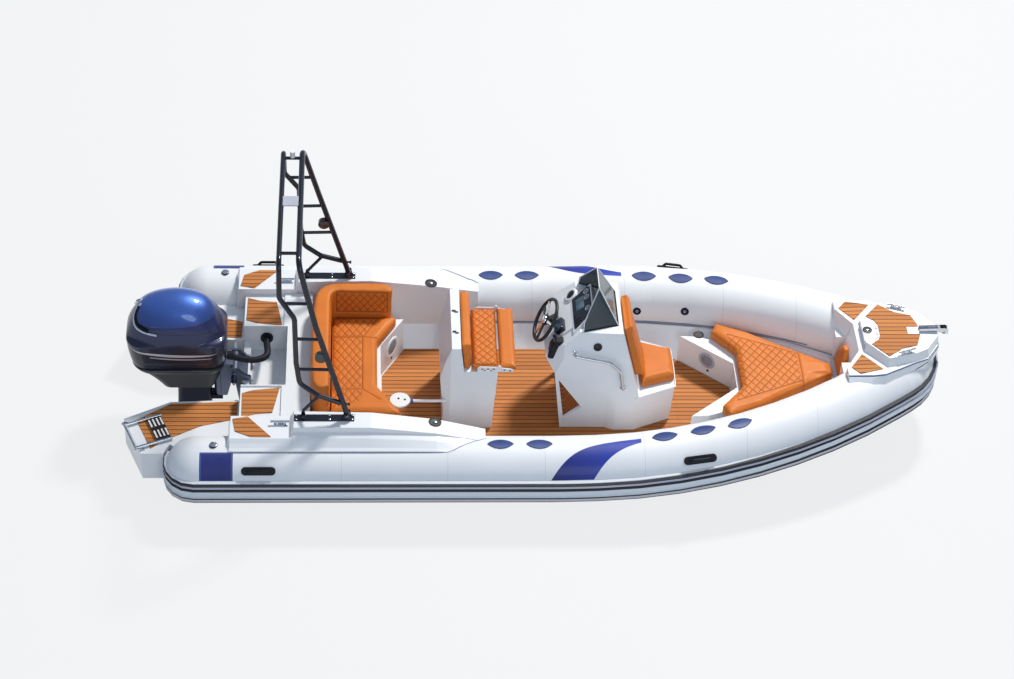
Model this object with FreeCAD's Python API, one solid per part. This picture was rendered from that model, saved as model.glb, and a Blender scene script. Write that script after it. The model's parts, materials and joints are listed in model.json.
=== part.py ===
# Rigid inflatable boat, 6.5 m long with a single outboard engine.
# Millimetres, +X towards the bow, +Y to port, +Z up.
# The origin is on the centreline, at the transom's aft face, on the waterline.
import FreeCAD, Part
import math
import os

V = FreeCAD.Vector
os.makedirs("parts", exist_ok=True)

# Clearances
seat_gap = 0.3
cradle_gap = 0.4
bow_cradle_gap = 5.0
soft_gap = 0.35

# Inflatable collar
tube_radius = 250.0
tube_half_spread = 1000.0
tube_height = 330.0
tube_aft_x = -330.0
tube_cap_length = 227.0
bend_start_x = 2760.0
bend_radius = 4250.0
nose_straight = 131.0
nose_radius = 299.0
rise_start_x = 2420.0
bow_rise = 216.2
rise_power = 1.43
centre_gap = 0.15

# Rubbing strake, from the collar's centre line
strake_top = 100.0
strake_bottom = -120.0
strake_stand_off = 18.0
strake_groove = 11.0

# Hull and cockpit
deck_level = 70.0
floor_level = 100.0
floor_inset = 400.0
cockpit_aft_x = 545.0
cradle_low_angle = 50.0
cradle_high_angle = 16.0
side_wall = 16.0
bow_well_level = 372.0

# Stern
stern_deck_level = 590.0
stern_inset = 266.0
pod_height = 122.0
pod_step = 56.0
well_half = 340.0
well_floor = 330.0
well_fore_x = 350.0
transom_thickness = 55.0
transom_top = 430.0
platform_top = 430.0
platform_bottom = 160.0
teak_thickness = 6.0

# Engine
tilt_x = -60.0
tilt_z = 505.0
steer_x = -190.0
prop_shaft_z = -500.0
prop_radius = 185.0

# Arch
arch_tube = 22.0
arch_pivot_x = 835.0
arch_pivot_inset = 174.0
arch_pivot_height = 43.0

# Bow moulding, its top above the collar's crest at the nose
bow_deck_height = 75.8
bow_well_from_nose = 1259.4
hatch_hinge_back = 267.0
hatch_hinge_rise = 4.5
roller_from_nose = 280.6


def box(x0, x1, y0, y1, z0, z1):
    return Part.makeBox(x1 - x0, y1 - y0, z1 - z0, V(x0, y0, z0))


def rod(p, q, radius):
    a = V(*p)
    b = V(*q)
    return Part.makeCylinder(radius, (b - a).Length, a, b - a)


def face_of(points):
    ring = [V(*p) for p in points]
    return Part.Face(Part.makePolygon(ring + [ring[0]]))


def plan_prism(points, z0, z1):
    return face_of([(x, y, z0) for x, y in points]).extrude(V(0, 0, z1 - z0))


def side_prism(points, y0, y1):
    return face_of([(x, y0, z) for x, z in points]).extrude(V(0, y1 - y0, 0))


def loft(rings, ruled=False):
    wires = []
    for ring in rings:
        if isinstance(ring, Part.Wire):
            wires.append(ring)
        else:
            points = [V(*p) for p in ring]
            wires.append(Part.makePolygon(points + [points[0]]))
    return Part.makeLoft(wires, True, ruled)


def mirrored(shape):
    return shape.mirror(V(0, 0, 0), V(0, 1, 0))


def fused(shapes):
    whole = shapes[0]
    if len(shapes) > 1:
        whole = whole.fuse(shapes[1:])
    return whole.removeSplitter()


def both_sides(shape):
    return [shape, mirrored(shape)]


def pipe(points, radius, bend):
    # A round bar along straight runs joined by tangent arcs.
    pts = [V(*p) for p in points]
    edges = []
    start = pts[0]
    for i in range(1, len(pts) - 1):
        before = (pts[i - 1] - pts[i]).normalize()
        after = (pts[i + 1] - pts[i]).normalize()
        turn = math.pi - before.getAngle(after)
        cut = bend * math.tan(turn / 2)
        room = 0.45 * min((pts[i - 1] - pts[i]).Length, (pts[i + 1] - pts[i]).Length)
        cut = min(cut, room)
        a = pts[i] + before * cut
        b = pts[i] + after * cut
        middle = (before + after).normalize()
        reach = cut / math.tan(turn / 2)
        depth = reach / math.cos(turn / 2) - reach
        edges.append(Part.LineSegment(start, a).toShape())
        edges.append(Part.Arc(a, pts[i] + middle * depth, b).toShape())
        start = b
    edges.append(Part.LineSegment(start, pts[-1]).toShape())
    path = Part.Wire(edges)
    direction = pts[1] - pts[0]
    ring = Part.Wire([Part.Circle(pts[0], direction, radius).toShape()])
    return path.makePipeShell([ring], True, False)


def rounded_ring(x0, x1, half, z, corner):
    # A rounded rectangle in a level plane.
    c = corner
    k = c * (1 - math.sqrt(0.5))
    corners = [
        (V(x1, half - c, z), V(x1 - k, half - k, z), V(x1 - c, half, z)),
        (V(x0 + c, half, z), V(x0 + k, half - k, z), V(x0, half - c, z)),
        (V(x0, -half + c, z), V(x0 + k, -half + k, z), V(x0 + c, -half, z)),
        (V(x1 - c, -half, z), V(x1 - k, -half + k, z), V(x1, -half + c, z)),
    ]
    edges = []
    for i, (a, m, b) in enumerate(corners):
        edges.append(Part.Arc(a, m, b).toShape())
        edges.append(Part.LineSegment(b, corners[(i + 1) % 4][0]).toShape())
    return Part.Wire(edges)


def round_edges(shape, radius, keep):
    edges = [e for e in shape.Edges if keep(e)]
    return shape.makeFillet(radius, edges) if edges else shape


def tall(edge):
    room = edge.BoundBox
    return room.XLength < 1 and room.YLength < 1 and room.ZLength > 1


# Path of the collar's centre line
def bend_end_angle():
    # The bend ends where the nose arc just reaches the centreline.
    across = bend_radius - nose_radius
    spare = bend_radius - tube_half_spread + centre_gap
    lean = math.atan2(nose_straight, across)
    return math.degrees(math.acos(spare / math.hypot(across, nose_straight)) - lean)


bend_angle = bend_end_angle()


def on_bend(angle):
    a = math.radians(angle)
    x = bend_start_x + bend_radius * math.sin(a)
    y = tube_half_spread - bend_radius * (1 - math.cos(a))
    return x, y, angle


def on_nose(angle):
    start_x, start_y, heading = on_bend(bend_angle)
    h0 = math.radians(heading)
    h = math.radians(angle)
    x = start_x + nose_straight * math.cos(h0) + nose_radius * (math.sin(h) - math.sin(h0))
    y = start_y - nose_straight * math.sin(h0) - nose_radius * (math.cos(h0) - math.cos(h))
    return x, y, angle


def tube_y(x):
    # Half spread of the collar's centre line at a station x.
    if x <= bend_start_x:
        return tube_half_spread, 0.0
    end_x, end_y, heading = on_bend(bend_angle)
    if x <= end_x:
        a = math.asin((x - bend_start_x) / bend_radius)
        return tube_half_spread - bend_radius * (1 - math.cos(a)), a
    a = math.radians(heading)
    return end_y - (x - end_x) * math.tan(a), a


# Places that follow from the collar
crest = tube_height + tube_radius
bow_x = on_nose(90)[0]
cockpit_fore_x = bow_x - bow_well_from_nose
floor_half = tube_half_spread - floor_inset
stern_half = tube_half_spread - stern_inset
pod_top = crest + pod_height
arch_pivot = (arch_pivot_x, tube_half_spread - arch_pivot_inset, pod_top + arch_pivot_height)


def rise(x):
    run = max(0.0, x - rise_start_x) / (bow_x - rise_start_x)
    return tube_height + bow_rise * run ** rise_power


def inside(x, inset):
    # A half width measured inwards from the collar's centre line.
    return tube_y(x)[0] - inset


bow_top = rise(bow_x) + tube_radius + bow_deck_height

bow_stations = [(rise_start_x, tube_half_spread, 0.0), (bend_start_x, tube_half_spread, 0.0)]
bow_stations += [on_bend(bend_angle * step / 8) for step in range(1, 9)]
bow_stations += [on_nose(angle) for angle in (bend_angle, 44.0, 55.5, 67.0, 78.5, 90.0)]


def tube_straight(radius):
    return rod((tube_aft_x, tube_half_spread, tube_height),
               (rise_start_x, tube_half_spread, tube_height), radius)


def tube_bow(radius):
    rings = []
    for x, y, heading in bow_stations:
        a = math.radians(heading)
        ring = Part.Circle(V(x, y, rise(x)), V(math.cos(a), -math.sin(a), 0), radius)
        rings.append(Part.Wire([ring.toShape()]))
    return Part.makeLoft(rings, True, True)


def tube_cap(radius):
    grown = radius - tube_radius
    cap = Part.makeSphere(radius, V(0, 0, 0), V(1, 0, 0))
    squeeze = FreeCAD.Matrix()
    squeeze.A11 = (tube_cap_length + grown) / radius
    cap = cap.transformGeometry(squeeze)
    cap = cap.common(box(-tube_cap_length - 20, 0, -400, 400, -400, 400))
    cap.translate(V(tube_aft_x, tube_half_spread, tube_height))
    return cap


def tube_solid(radius):
    return tube_straight(radius).fuse([tube_bow(radius), tube_cap(radius)])


def strake_ring(origin, outward, squeeze=1.0, z=0.0):
    # Ribbed section: outward distance from the collar's centre line, height.
    inner = tube_radius + seat_gap
    outer = tube_radius + strake_stand_off
    groove = outer - strake_groove
    top_in = math.sqrt(inner ** 2 - strake_top ** 2)
    low_in = math.sqrt(inner ** 2 - strake_bottom ** 2)
    section = [
        (top_in, strake_top), (groove, 92), (outer, 80), (outer, 52), (groove, 44), (groove, 30),
        (outer, 22), (outer, -22), (groove, -30), (groove, -44), (outer, -52), (outer, -98),
        (groove, -112), (low_in, strake_bottom),
    ]
    ox, oy = origin
    ux, uy = outward
    pts = [V(ox + ux * u * squeeze, oy + uy * u * squeeze, z + h) for u, h in section]
    edges = [Part.LineSegment(a, b).toShape() for a, b in zip(pts, pts[1:])]
    middle = V(ox + ux * inner * squeeze, oy + uy * inner * squeeze, z)
    edges.append(Part.Arc(pts[-1], middle, pts[0]).toShape())
    return Part.Wire(edges)


def strake_solid():
    side = Part.Face(strake_ring((tube_aft_x, tube_half_spread), (0, 1), 1.0, tube_height))
    side = side.extrude(V(rise_start_x - tube_aft_x, 0, 0))
    rings = []
    for x, y, heading in bow_stations:
        a = math.radians(heading)
        rings.append(strake_ring((x, y), (math.sin(a), math.cos(a)), 1.0, rise(x)))
    bow = Part.makeLoft(rings, True, True)
    rings = []
    for angle in (0.0, 20.0, 40.0, 60.0, 80.0, 100.0, 115.0):
        a = math.radians(angle)
        reach = 1 / math.hypot(math.sin(a) / tube_cap_length, math.cos(a) / tube_radius)
        rings.append(strake_ring((tube_aft_x, tube_half_spread), (-math.sin(a), math.cos(a)),
                                 reach / tube_radius, tube_height))
    stern = Part.makeLoft(rings, True, True)
    stern = stern.cut(tube_cap(tube_radius + seat_gap))
    return fused([side, bow, stern])


def strake_sweep():
    # Room in the platform for the strake round the collar's stern end
    ring = [(tube_aft_x, tube_half_spread)]
    for angle in range(0, 131, 13):
        a = math.radians(angle)
        reach = 1 / math.hypot(math.sin(a) / tube_cap_length, math.cos(a) / tube_radius)
        reach *= (tube_radius + strake_stand_off + 4) / tube_radius
        ring.append((tube_aft_x - reach * math.sin(a), tube_half_spread + reach * math.cos(a)))
    return plan_prism(ring, tube_height + strake_bottom - 5, tube_height + strake_top + 5)


# Hull and liner: one outer form, split at the deck level
# Stations: share of the way to the nose, keel height, chine inside and below the cradle's
# low edge, cradle's top angle
hull_stations = [
    (0.0, -330, 74, 153, 16),
    (0.2353, -310, 87, 147, 16),
    (0.4776, -255, 92, 135, 16),
    (0.6853, -150, 73, 101, 16),
    (0.841, -10, 26, 58, 24),
    (0.893, 72, 11, 49, 34),
    (0.938, 150, 9, 42, 42),
]


def cradle_points(x, gap, high=cradle_high_angle):
    y, a = tube_y(x)
    stretch = 1 / math.cos(a)
    reach = tube_radius + gap
    points = []
    for angle in (cradle_low_angle, (cradle_low_angle + high) / 2, high):
        t = math.radians(angle)
        points.append((y - reach * stretch * math.cos(t), rise(x) - reach * math.sin(t)))
    return points


def chine_at(x, inset, drop, gap):
    y, z = cradle_points(x, gap)[0]
    return y - inset, z - drop


def hull_ring(x, keel, inset, drop, high, gap):
    (y0, z0), (y1, z1), (y2, z2) = cradle_points(x, gap, high)
    chine_y, chine_z = chine_at(x, inset, drop, gap)
    pts = []
    for s in (1, -1):
        side = [V(x, s * chine_y, chine_z), V(x, s * y0, z0), V(x, s * y1, z1), V(x, s * y2, z2)]
        pts.append(side)
    port, starboard = pts
    bottom = V(x, 0, keel)
    edges = [Part.LineSegment(bottom, port[0]).toShape()]
    edges.append(Part.LineSegment(port[0], port[1]).toShape())
    edges.append(Part.Arc(port[1], port[2], port[3]).toShape())
    edges.append(Part.LineSegment(port[3], starboard[3]).toShape())
    edges.append(Part.Arc(starboard[3], starboard[2], starboard[1]).toShape())
    edges.append(Part.LineSegment(starboard[1], starboard[0]).toShape())
    edges.append(Part.LineSegment(starboard[0], bottom).toShape())
    return Part.Wire(edges)


def station_x(share):
    return rise_start_x + share * (bow_x - rise_start_x)


def outer_form():
    keel, inset, drop, high = hull_stations[0][1:]
    aft = Part.makeLoft([hull_ring(0, keel, inset + 5, drop + 5, high, cradle_gap),
                         hull_ring(rise_start_x, keel, inset, drop, high, cradle_gap)], True, True)
    bow = Part.makeLoft([hull_ring(station_x(share), *row, bow_cradle_gap)
                         for share, *row in hull_stations], True, True)
    return aft, bow


def spray_rail(share_out, width):
    # A wedge along the planing bottom, sunk a little into it.
    rings = []
    for x, (share, keel, inset, drop, high) in [(0.0, hull_stations[0])] + [
            (station_x(row[0]), row) for row in hull_stations[:5]]:
        chine_y, chine_z = chine_at(x, inset, drop, cradle_gap)
        slope = (chine_z - keel) / chine_y
        y = share_out * chine_y
        z = keel + slope * y
        outer = y + width
        rings.append([(x, y - 20, z - slope * 20 + 8), (x, outer, z + slope * width + 8),
                      (x, outer, z - 2), (x, y, z)])
    return loft(rings, True)


def well_ring(x, half, level, top_half, top):
    return [(x, half, level), (x, top_half, top), (x, -top_half, top), (x, -half, level)]


def cockpit_x(share):
    return rise_start_x + share * (cockpit_fore_x - rise_start_x)


def cockpit_space():
    # Stations: share of the way to the bow well, floor edge inside the collar's line
    rows = [(0.0, floor_inset), (0.417, 411), (0.785, 425), (1.0, 450)]
    over = 5.0
    rings = []
    for share, inset in rows:
        x = cockpit_x(share)
        y, z = cradle_points(x, bow_cradle_gap)[2]
        rings.append(well_ring(x, inside(x, inset), floor_level, y - side_wall, z + over))
    y, z = cradle_points(0, cradle_gap)[2]
    aft = loft([well_ring(cockpit_aft_x, floor_half, floor_level, y - side_wall, z + over),
                well_ring(rise_start_x, floor_half, floor_level, y - side_wall, z + over)], True)
    return [aft, loft(rings, True)]


def bow_space():
    rings = []
    for x in (cockpit_fore_x, bow_x - 909, bow_x - 549):
        y, z = cradle_points(x, bow_cradle_gap)[2]
        rings.append(well_ring(x, y - 60, bow_well_level, y - side_wall, max(z + 5, bow_well_level + 30)))
    return loft(rings, True)


nodes = {}


def make_hull():
    aft, bow = outer_form()
    below = box(-10, 5600, -1300, 1300, -900, deck_level)
    above = box(-10, 5600, -1300, 1300, deck_level, 1500)
    planing = [aft.common(below), bow.common(below)]
    for share_out, width in ((0.36, 55), (0.7, 55)):
        planing += both_sides(spray_rail(share_out, width).common(below))
    nodes["hull"] = fused(planing)
    liner = fused([aft.common(above), bow.common(above)])
    for space in cockpit_space() + [bow_space()]:
        liner = liner.cut(space)
    nodes["deck_liner"] = liner


# Teak sheet on the cockpit floor
def make_floor():
    half = floor_half - 6
    port = [(1108, 270), (1108 + 0.58 * (half - 270), half), (rise_start_x, half)]
    port += [(x, inside(x, inset)) for x, inset in ((cockpit_x(0.417), 416), (cockpit_x(0.66), 434))]
    outline = port + [(x, -y) for x, y in reversed(port)]
    nodes["teak_floor"] = plan_prism(outline, floor_level, floor_level + teak_thickness)


# Collar
def make_collar():
    tube = tube_solid(tube_radius)
    strake = strake_solid()
    for side, place in (("port", lambda s: s), ("starboard", mirrored)):
        nodes["tube_" + side] = place(tube)
        nodes["strake_" + side] = place(strake)


def on_crest(x, y, size_x, size_y, heading):
    # A lens shaped pad that follows the collar's crest.
    a = size_x / 2
    b = size_y / 2
    left = V(-a, 0, 0)
    right = V(a, 0, 0)
    top = Part.Arc(left, V(0, b, 0), right).toShape()
    bottom = Part.Arc(right, V(0, -b, 0), left).toShape()
    pad = Part.Face(Part.Wire([top, bottom])).extrude(V(0, 0, 90))
    pad.rotate(V(0, 0, 0), V(0, 0, 1), -heading)
    pad.translate(V(x, y, rise(x) + tube_radius - 60))
    return pad


def make_tube_pads():
    # Pads along the crest: x, distance inside the centre line
    pads = []
    for x, inset in ((2010, 15), (2310, 15), (3280, 30), (3580, 30), (3870, 12)):
        form = tube_straight if x < rise_start_x else tube_bow
        heading = math.degrees(tube_y(x)[1])
        pad = on_crest(x, inside(x, inset), 200, 96, heading)
        pad = pad.common(form(tube_radius + 8)).cut(form(tube_radius + seat_gap))
        pads += both_sides(pad.Solids[0])
    nodes["tube_pads"] = Part.makeCompound(pads)


def handle(x, y, z, heading, lean):
    # A moulded grab handle on an oval base.
    base = box(-130, 130, -32, 32, 0, 12)
    base = round_edges(base, 30, tall)
    grip = pipe([(-85, 0, 8), (-60, 0, 34), (60, 0, 34), (85, 0, 8)], 11, 20)
    part = fused([base, grip])
    part.rotate(V(0, 0, 0), V(1, 0, 0), -lean)
    part.rotate(V(0, 0, 0), V(0, 0, 1), -heading)
    part.translate(V(x, y, z))
    return part


def make_fittings():
    # Handles: x, offset angle above the horizontal, heading
    parts = []
    for x, lift, form in ((165, 41, tube_straight), (3510, 41, tube_bow)):
        y, a = tube_y(x)
        t = math.radians(lift)
        reach = tube_radius - 3
        heading = math.degrees(a)
        px = x + reach * math.cos(t) * math.sin(a)
        py = y + reach * math.cos(t) * math.cos(a)
        pz = rise(x) + reach * math.sin(t)
        grip = handle(px, py, pz, heading, 90 - lift).cut(form(tube_radius + seat_gap))
        parts += both_sides(max(grip.Solids, key=lambda q: q.Volume))
    # Inflation valves on the crest
    parts += both_sides(rod((-180, tube_half_spread, crest + seat_gap),
                            (-180, tube_half_spread, crest + 10), 30))
    nodes["tube_handles"] = Part.makeCompound(parts)


# Side pods: raised mouldings over the collar beside the lounge
def make_pods():
    # Shoulder places out from the collar's line, and heights above the crest from the inner edge on
    step_out = (-70, -20, 10, 40, 66)
    tall_out = (-70, -62, -15, 40, 66)
    step_up = (pod_step, pod_step, pod_step, 32, 14, 4)
    tall_up = (pod_height, pod_height, pod_height - 42, pod_height - 62, 16, 6)
    # Stations: x, inner edge inside the collar's line, shoulder places, heights
    rows = [
        (-85, 265, step_out, (-190, -20, -10, -10, -12, -18)),
        (-58, 265, step_out, step_up),
        (400, 265, step_out, step_up),
        (428, 250, tall_out, tall_up),
        (1020, 235, tall_out, tall_up),
        (1520, 225, tall_out, (60, 60, 42, 32, 10, 2)),
        (1900, 200, tall_out, (-20, -20, -22, -24, -26, -30)),
    ]
    middle = tube_half_spread
    foot = stern_half + 1
    low = tube_height - 68
    rings = []
    for x, inset, out, up in rows:
        ring = [(x, foot, low), (x, middle - inset, crest + up[0])]
        ring += [(x, middle + y, crest + z) for y, z in zip(out, up[1:])]
        ring += [(x, middle + out[-1], crest - 60), (x, middle - 100, low)]
        rings.append(ring)
    pod = loft(rings, True)
    pod = pod.cut(rod((-900, middle, tube_height), (2300, middle, tube_height), tube_radius + seat_gap))
    pod = pod.cut(box(-100, 0, 500, middle + 200, low - 60, platform_top + seat_gap))
    solid = sorted(pod.Solids, key=lambda s: -s.Volume)[0]
    nodes["side_pod_port"] = solid
    nodes["side_pod_starboard"] = mirrored(solid)


# Stern deck with the splash well, steps and transom
def make_stern():
    low = cradle_points(0, cradle_gap)[2][1] + seat_gap
    deck = box(0, cockpit_aft_x, -stern_half, stern_half, low, stern_deck_level)
    deck = deck.cut(box(transom_thickness, well_fore_x, -well_half, well_half, well_floor, 900))
    deck = deck.cut(box(-5, transom_thickness + 1, -well_half, well_half, transom_top, 900))
    step = stern_deck_level - 15
    deck = deck.cut(box(-5, 320, well_half + 10, stern_half + 5, step, 900))
    deck = deck.cut(box(-5, 320, -stern_half - 5, -well_half - 10, step, 900))
    nodes["stern_deck"] = deck

    outline = [(-900, 560), (-550, 372), (-0.5, 345), (-0.5, stern_half + 1), (-300, inside(0, 200)),
               (-560, inside(0, 62)), (-742, inside(0, 62))]
    platform = plan_prism(outline, platform_bottom, platform_top)
    platform = platform.cut(tube_straight(tube_radius + 0.5))
    platform = platform.cut(tube_cap(tube_radius + 0.5)).cut(strake_sweep())
    platform = sorted(platform.Solids, key=lambda s: -s.Volume)[0]
    nodes["platform_port"] = platform
    nodes["platform_starboard"] = mirrored(platform)

    teak = []
    pads = [
        ([(-800, 575), (-545, 398), (-25, 372), (-25, stern_half - 174), (-300, inside(0, 360)),
          (-575, inside(0, 200)), (-672, inside(0, 115))], platform_top),
        ([(15, 425), (100, 392), (305, 365), (255, stern_half - 94), (120, stern_half - 79),
          (20, stern_half - 44)], step),
        ([(-43, inside(0, 227)), (71, inside(0, 255)), (256, inside(0, 35)), (104, inside(0, 35)),
          (-19, inside(0, 95))], crest + pod_step),
    ]
    for outline, level in pads:
        teak += both_sides(plan_prism(outline, level, level + teak_thickness))
    nodes["stern_teak"] = Part.makeCompound(teak)


# Boarding ladder, stowed on the starboard platform
ladder_hinge = (-838.0, -inside(0, 226), 449.3)
ladder_heading = 22.6


def make_ladder():
    # Rails and steps along +X from the hinge bar, then turned to the stowed heading
    parts = [rod((0, -161, 0), (0, 161, 0), 9)]
    for y in (-135, 135):
        parts.append(rod((0, y, 0), (300, y, 0), 13))
    for step in range(4):
        start = 178 + step * 30
        parts.append(box(start, start + 24, -126, 126, -7, 7))
    nodes["boarding_ladder"] = turned(fused(parts), ladder_hinge, ladder_heading)

    drop = ladder_hinge[2] - platform_top - seat_gap
    lugs = []
    for y in (-158, 153):
        ear = side_prism([(-14, -8), (-8, -14), (66, -drop), (66, 5 - drop), (8, 14), (-14, 8)], y, y + 5)
        ear = ear.cut(rod((0, y - 1, 0), (0, y + 6, 0), 9.3))
        foot = box(32, 66, y - 10, y + 15, -drop, 4 - drop)
        lugs.append(turned(fused([ear, foot]), ladder_hinge, ladder_heading))
    nodes["ladder_brackets"] = Part.makeCompound(lugs)


def turned(shape, at, heading):
    shape.rotate(V(0, 0, 0), V(0, 0, 1), heading)
    shape.translate(V(*at))
    return shape


# Bow deck moulding
# Stations: x back from the nose, top half width and drop, rim half width and drop, underside's drop
bow_rows = [
    (-539, 430, 82, 560, 232, 472),
    (-349, 440, 72, 545, 212, 472),
    (-249, 430, 69, 500, 192, 472),
    (11, 300, 66, 330, 152, 312),
    (121, 250, 69, 262, 112, 182),
    (236, 80, 72, 90, 102, 162),
]
# Raised plate: outline at its foot and at its top, from the nose
plate_foot = [(-370, 155), (-384, 165), (-217, 368), (36, 290), (131, 240), (236, 70)]
plate_crown = [(-370, 140), (-359, 150), (-211, 325), (21, 262), (111, 215), (221, 60)]
hatch_outline = [(-377, 125), (-299, 118), (-263, 70)]


def from_nose(points, level=None):
    # Half an outline, completed by its mirror image.
    port = [(bow_x + x, y) for x, y in points]
    ring = [(port[0][0], 0)] + port + [(port[-1][0], 0)]
    return ring if level is None else [(x, y, level) for x, y in ring]


def bow_side(row, drop):
    # Half width of the moulding's flank below the top.
    x, top_half, top_drop, rim_half, rim_drop, low = row
    share = (drop - top_drop) / (rim_drop - top_drop)
    return top_half + share * (rim_half - top_half)


def bow_groove(start, drops, height, depth):
    rings = []
    for row, drop in zip(bow_rows[start:], drops):
        x = bow_x + row[0]
        y = bow_side(row, drop)
        z = bow_top - drop
        rings.append([(x, y - depth, z), (x, y + 40, z), (x, y + 40, z + height), (x, y - depth, z + height)])
    return loft(rings, True)


def bow_pad_form():
    # A sheet of teak's thickness over the lower level of the moulding
    rings = []
    for x, top_half, top_drop, rim_half, rim_drop, low in bow_rows[:4]:
        z = bow_top - top_drop + seat_gap
        rings.append([(bow_x + x, 0, z), (bow_x + x, 600, z), (bow_x + x, 600, z + teak_thickness),
                      (bow_x + x, 0, z + teak_thickness)])
    return loft(rings, True)


def make_bow():
    tube_cut = tube_bow(tube_radius + 0.5)
    rings = []
    for x, top_half, top_drop, rim_half, rim_drop, low in bow_rows:
        x += bow_x
        top = bow_top - top_drop
        rim = bow_top - rim_drop
        rings.append([(x, 0, top), (x, top_half, top), (x, rim_half, rim), (x, rim_half, rim - 60),
                      (x, 60, bow_top - low), (x, 0, bow_top - low)])
    half = loft(rings, True)
    half = half.fuse(loft([from_nose(plate_foot, bow_top - 84), from_nose(plate_crown, bow_top)], True))
    # Recess behind the plate, open towards the sun pad
    recess = [(bow_top - 212, [(-619, 470), (-588, 391), (-465, 157)]),
              (bow_top + 28, [(-619, 470), (-485, 283), (-384, 157)])]
    half = half.cut(loft([from_nose([(-619, 1)] + points, z) for z, points in recess], True))
    # Seats of the hatch and of the small backrest
    half = half.cut(plan_prism(from_nose([(x + (3 if x > -350 else -3), y + 3) for x, y in hatch_outline]),
                               bow_top - 27, bow_top + 30))
    low = bow_top - 447
    half = half.cut(side_prism([(bow_x - 609, low), (bow_x - 483, low), (bow_x - 461, low + 275),
                                (bow_x - 461, low + 475), (bow_x - 609, low + 475)], -1, 152))
    # Grooves along the flank
    half = half.cut(bow_groove(0, (98, 88, 85, 82, 84, 88), 12, 14))
    half = half.cut(bow_groove(0, (166, 158, 155, 136, 108, 100), 8, 10))
    half = half.cut(tube_cut)
    half = sorted(half.Solids, key=lambda s: -s.Volume)[0]
    deck = half.fuse(mirrored(half))
    nodes["bow_deck"] = sorted(deck.Solids, key=lambda s: -s.Volume)[0]

    port = [(bow_x + x, y) for x, y in hatch_outline]
    outline = port + [(x, -y) for x, y in reversed(port)]
    hatch = plan_prism(outline, bow_top - 27 + seat_gap, bow_top)
    latch = rod((bow_x - 340, 0, bow_top), (bow_x - 340, 0, bow_top + 6), 38)
    hinge_x = bow_x - hatch_hinge_back
    hinge_z = bow_top + hatch_hinge_rise
    barrels = [rod((hinge_x, y, hinge_z), (hinge_x, y + 30, hinge_z), 4.2) for y in (-50, 20)]
    nodes["bow_hatch"] = fused([hatch, latch] + barrels)

    plate = [(-328, 164), (-267, 112), (-247, 62), (-247, -62), (-267, -112), (-328, -164), (-209, -305),
             (-94, -215), (36, -175), (76, -60), (76, -46), (-19, -46), (-19, 46), (76, 46), (76, 60),
             (36, 175), (-94, 215), (-209, 305)]
    teak = [plan_prism([(bow_x + x, y) for x, y in plate], bow_top, bow_top + teak_thickness)]
    side = [(-508, 348), (-447, 424), (-262, 378), (-404, 203)]
    pad = plan_prism([(bow_x + x, y) for x, y in side], bow_top - 100, bow_top - 40)
    teak += both_sides(pad.common(bow_pad_form()))
    nodes["bow_teak"] = Part.makeCompound(teak)

    # Anchor roller: side cheeks, base plate and a pin
    back = bow_x + 75
    pin_x = bow_x + roller_from_nose
    base = bow_top + seat_gap
    cheeks = []
    for y in (-24, 21):
        cheeks.append(side_prism([(back, base), (pin_x, base), (pin_x + 28, base - 22),
                                  (pin_x + 28, base + 33), (pin_x, base + 43), (back, base + 33)], y, y + 3))
    plate = box(back, pin_x - 40, -24, 24, base, base + 4)
    pin_z = bow_top + 8
    pin = rod((pin_x, -30, pin_z), (pin_x, 30, pin_z), 5)
    nodes["anchor_bracket"] = fused(cheeks + [plate, pin])
    roller = rod((pin_x, -18, pin_z), (pin_x, 18, pin_z), 26)
    groove = Part.makeTorus(31, 13, V(pin_x, 0, pin_z), V(0, 1, 0))
    roller = roller.cut(groove).cut(rod((pin_x, -20, pin_z), (pin_x, 20, pin_z), 5.3))
    nodes["bow_roller"] = roller


# Bow locker and sun pad
# Outlines: x back from the nose, distance inside the collar's line
sunpad_rim = [(-1464, 314), (-1199, 340), (-859, 418), (-609, 469)]
locker_wing = [(-1749, 454), (-1609, 433), (-1261, 460)]


def along_collar(rows):
    return [(bow_x + x, inside(bow_x + x, inset)) for x, inset in rows]


def make_bow_seat():
    notch_x = bow_x - 1329
    port = [(notch_x, 225)] + along_collar([(-1509, 433)] + sunpad_rim)
    outline = port + [(x, -y) for x, y in reversed(port)]
    top = 470.0
    base = bow_well_level + soft_gap
    pad = plan_prism(outline, base, top)
    pad = round_edges(pad, 18, lambda e: abs(e.BoundBox.ZMin - top) < 1 and e.BoundBox.ZLength < 1)
    nodes["sunpad"] = pad
    # Locker: two slanted wings beside a flat front
    port = [(bow_x - 1347, 140)] + along_collar(locker_wing)
    outline = port + [(x, -y) for x, y in reversed(port)]
    nodes["bow_locker"] = plan_prism(outline, floor_level + teak_thickness + seat_gap, bow_well_level)
    # Headrest: a leaning slab under an arched outline
    low = bow_top - 446.65
    foot = bow_x - 533
    slab = side_prism([(foot, low), (foot + 50, low), (foot + 72, low + 275), (foot + 27, low + 275)],
                      -150, 150)
    edge = [(150, -1), (150, 10), (128, 110), (88, 205), (45, 255), (25, 276)]
    outline = [(y, low + z) for y, z in edge] + [(-y, low + z) for y, z in reversed(edge)]
    front = face_of([(foot - 10, y, z) for y, z in outline]).extrude(V(120, 0, 0))
    nodes["bow_backrest"] = slab.common(front)


# Steering console
wheel_centre = (2390.0, 0.0, 975.0)
wheel_tilt = 28.0
wheel_radius = 187.0


def wheel_axis():
    t = math.radians(wheel_tilt)
    return V(-math.cos(t), 0, math.sin(t))


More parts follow.
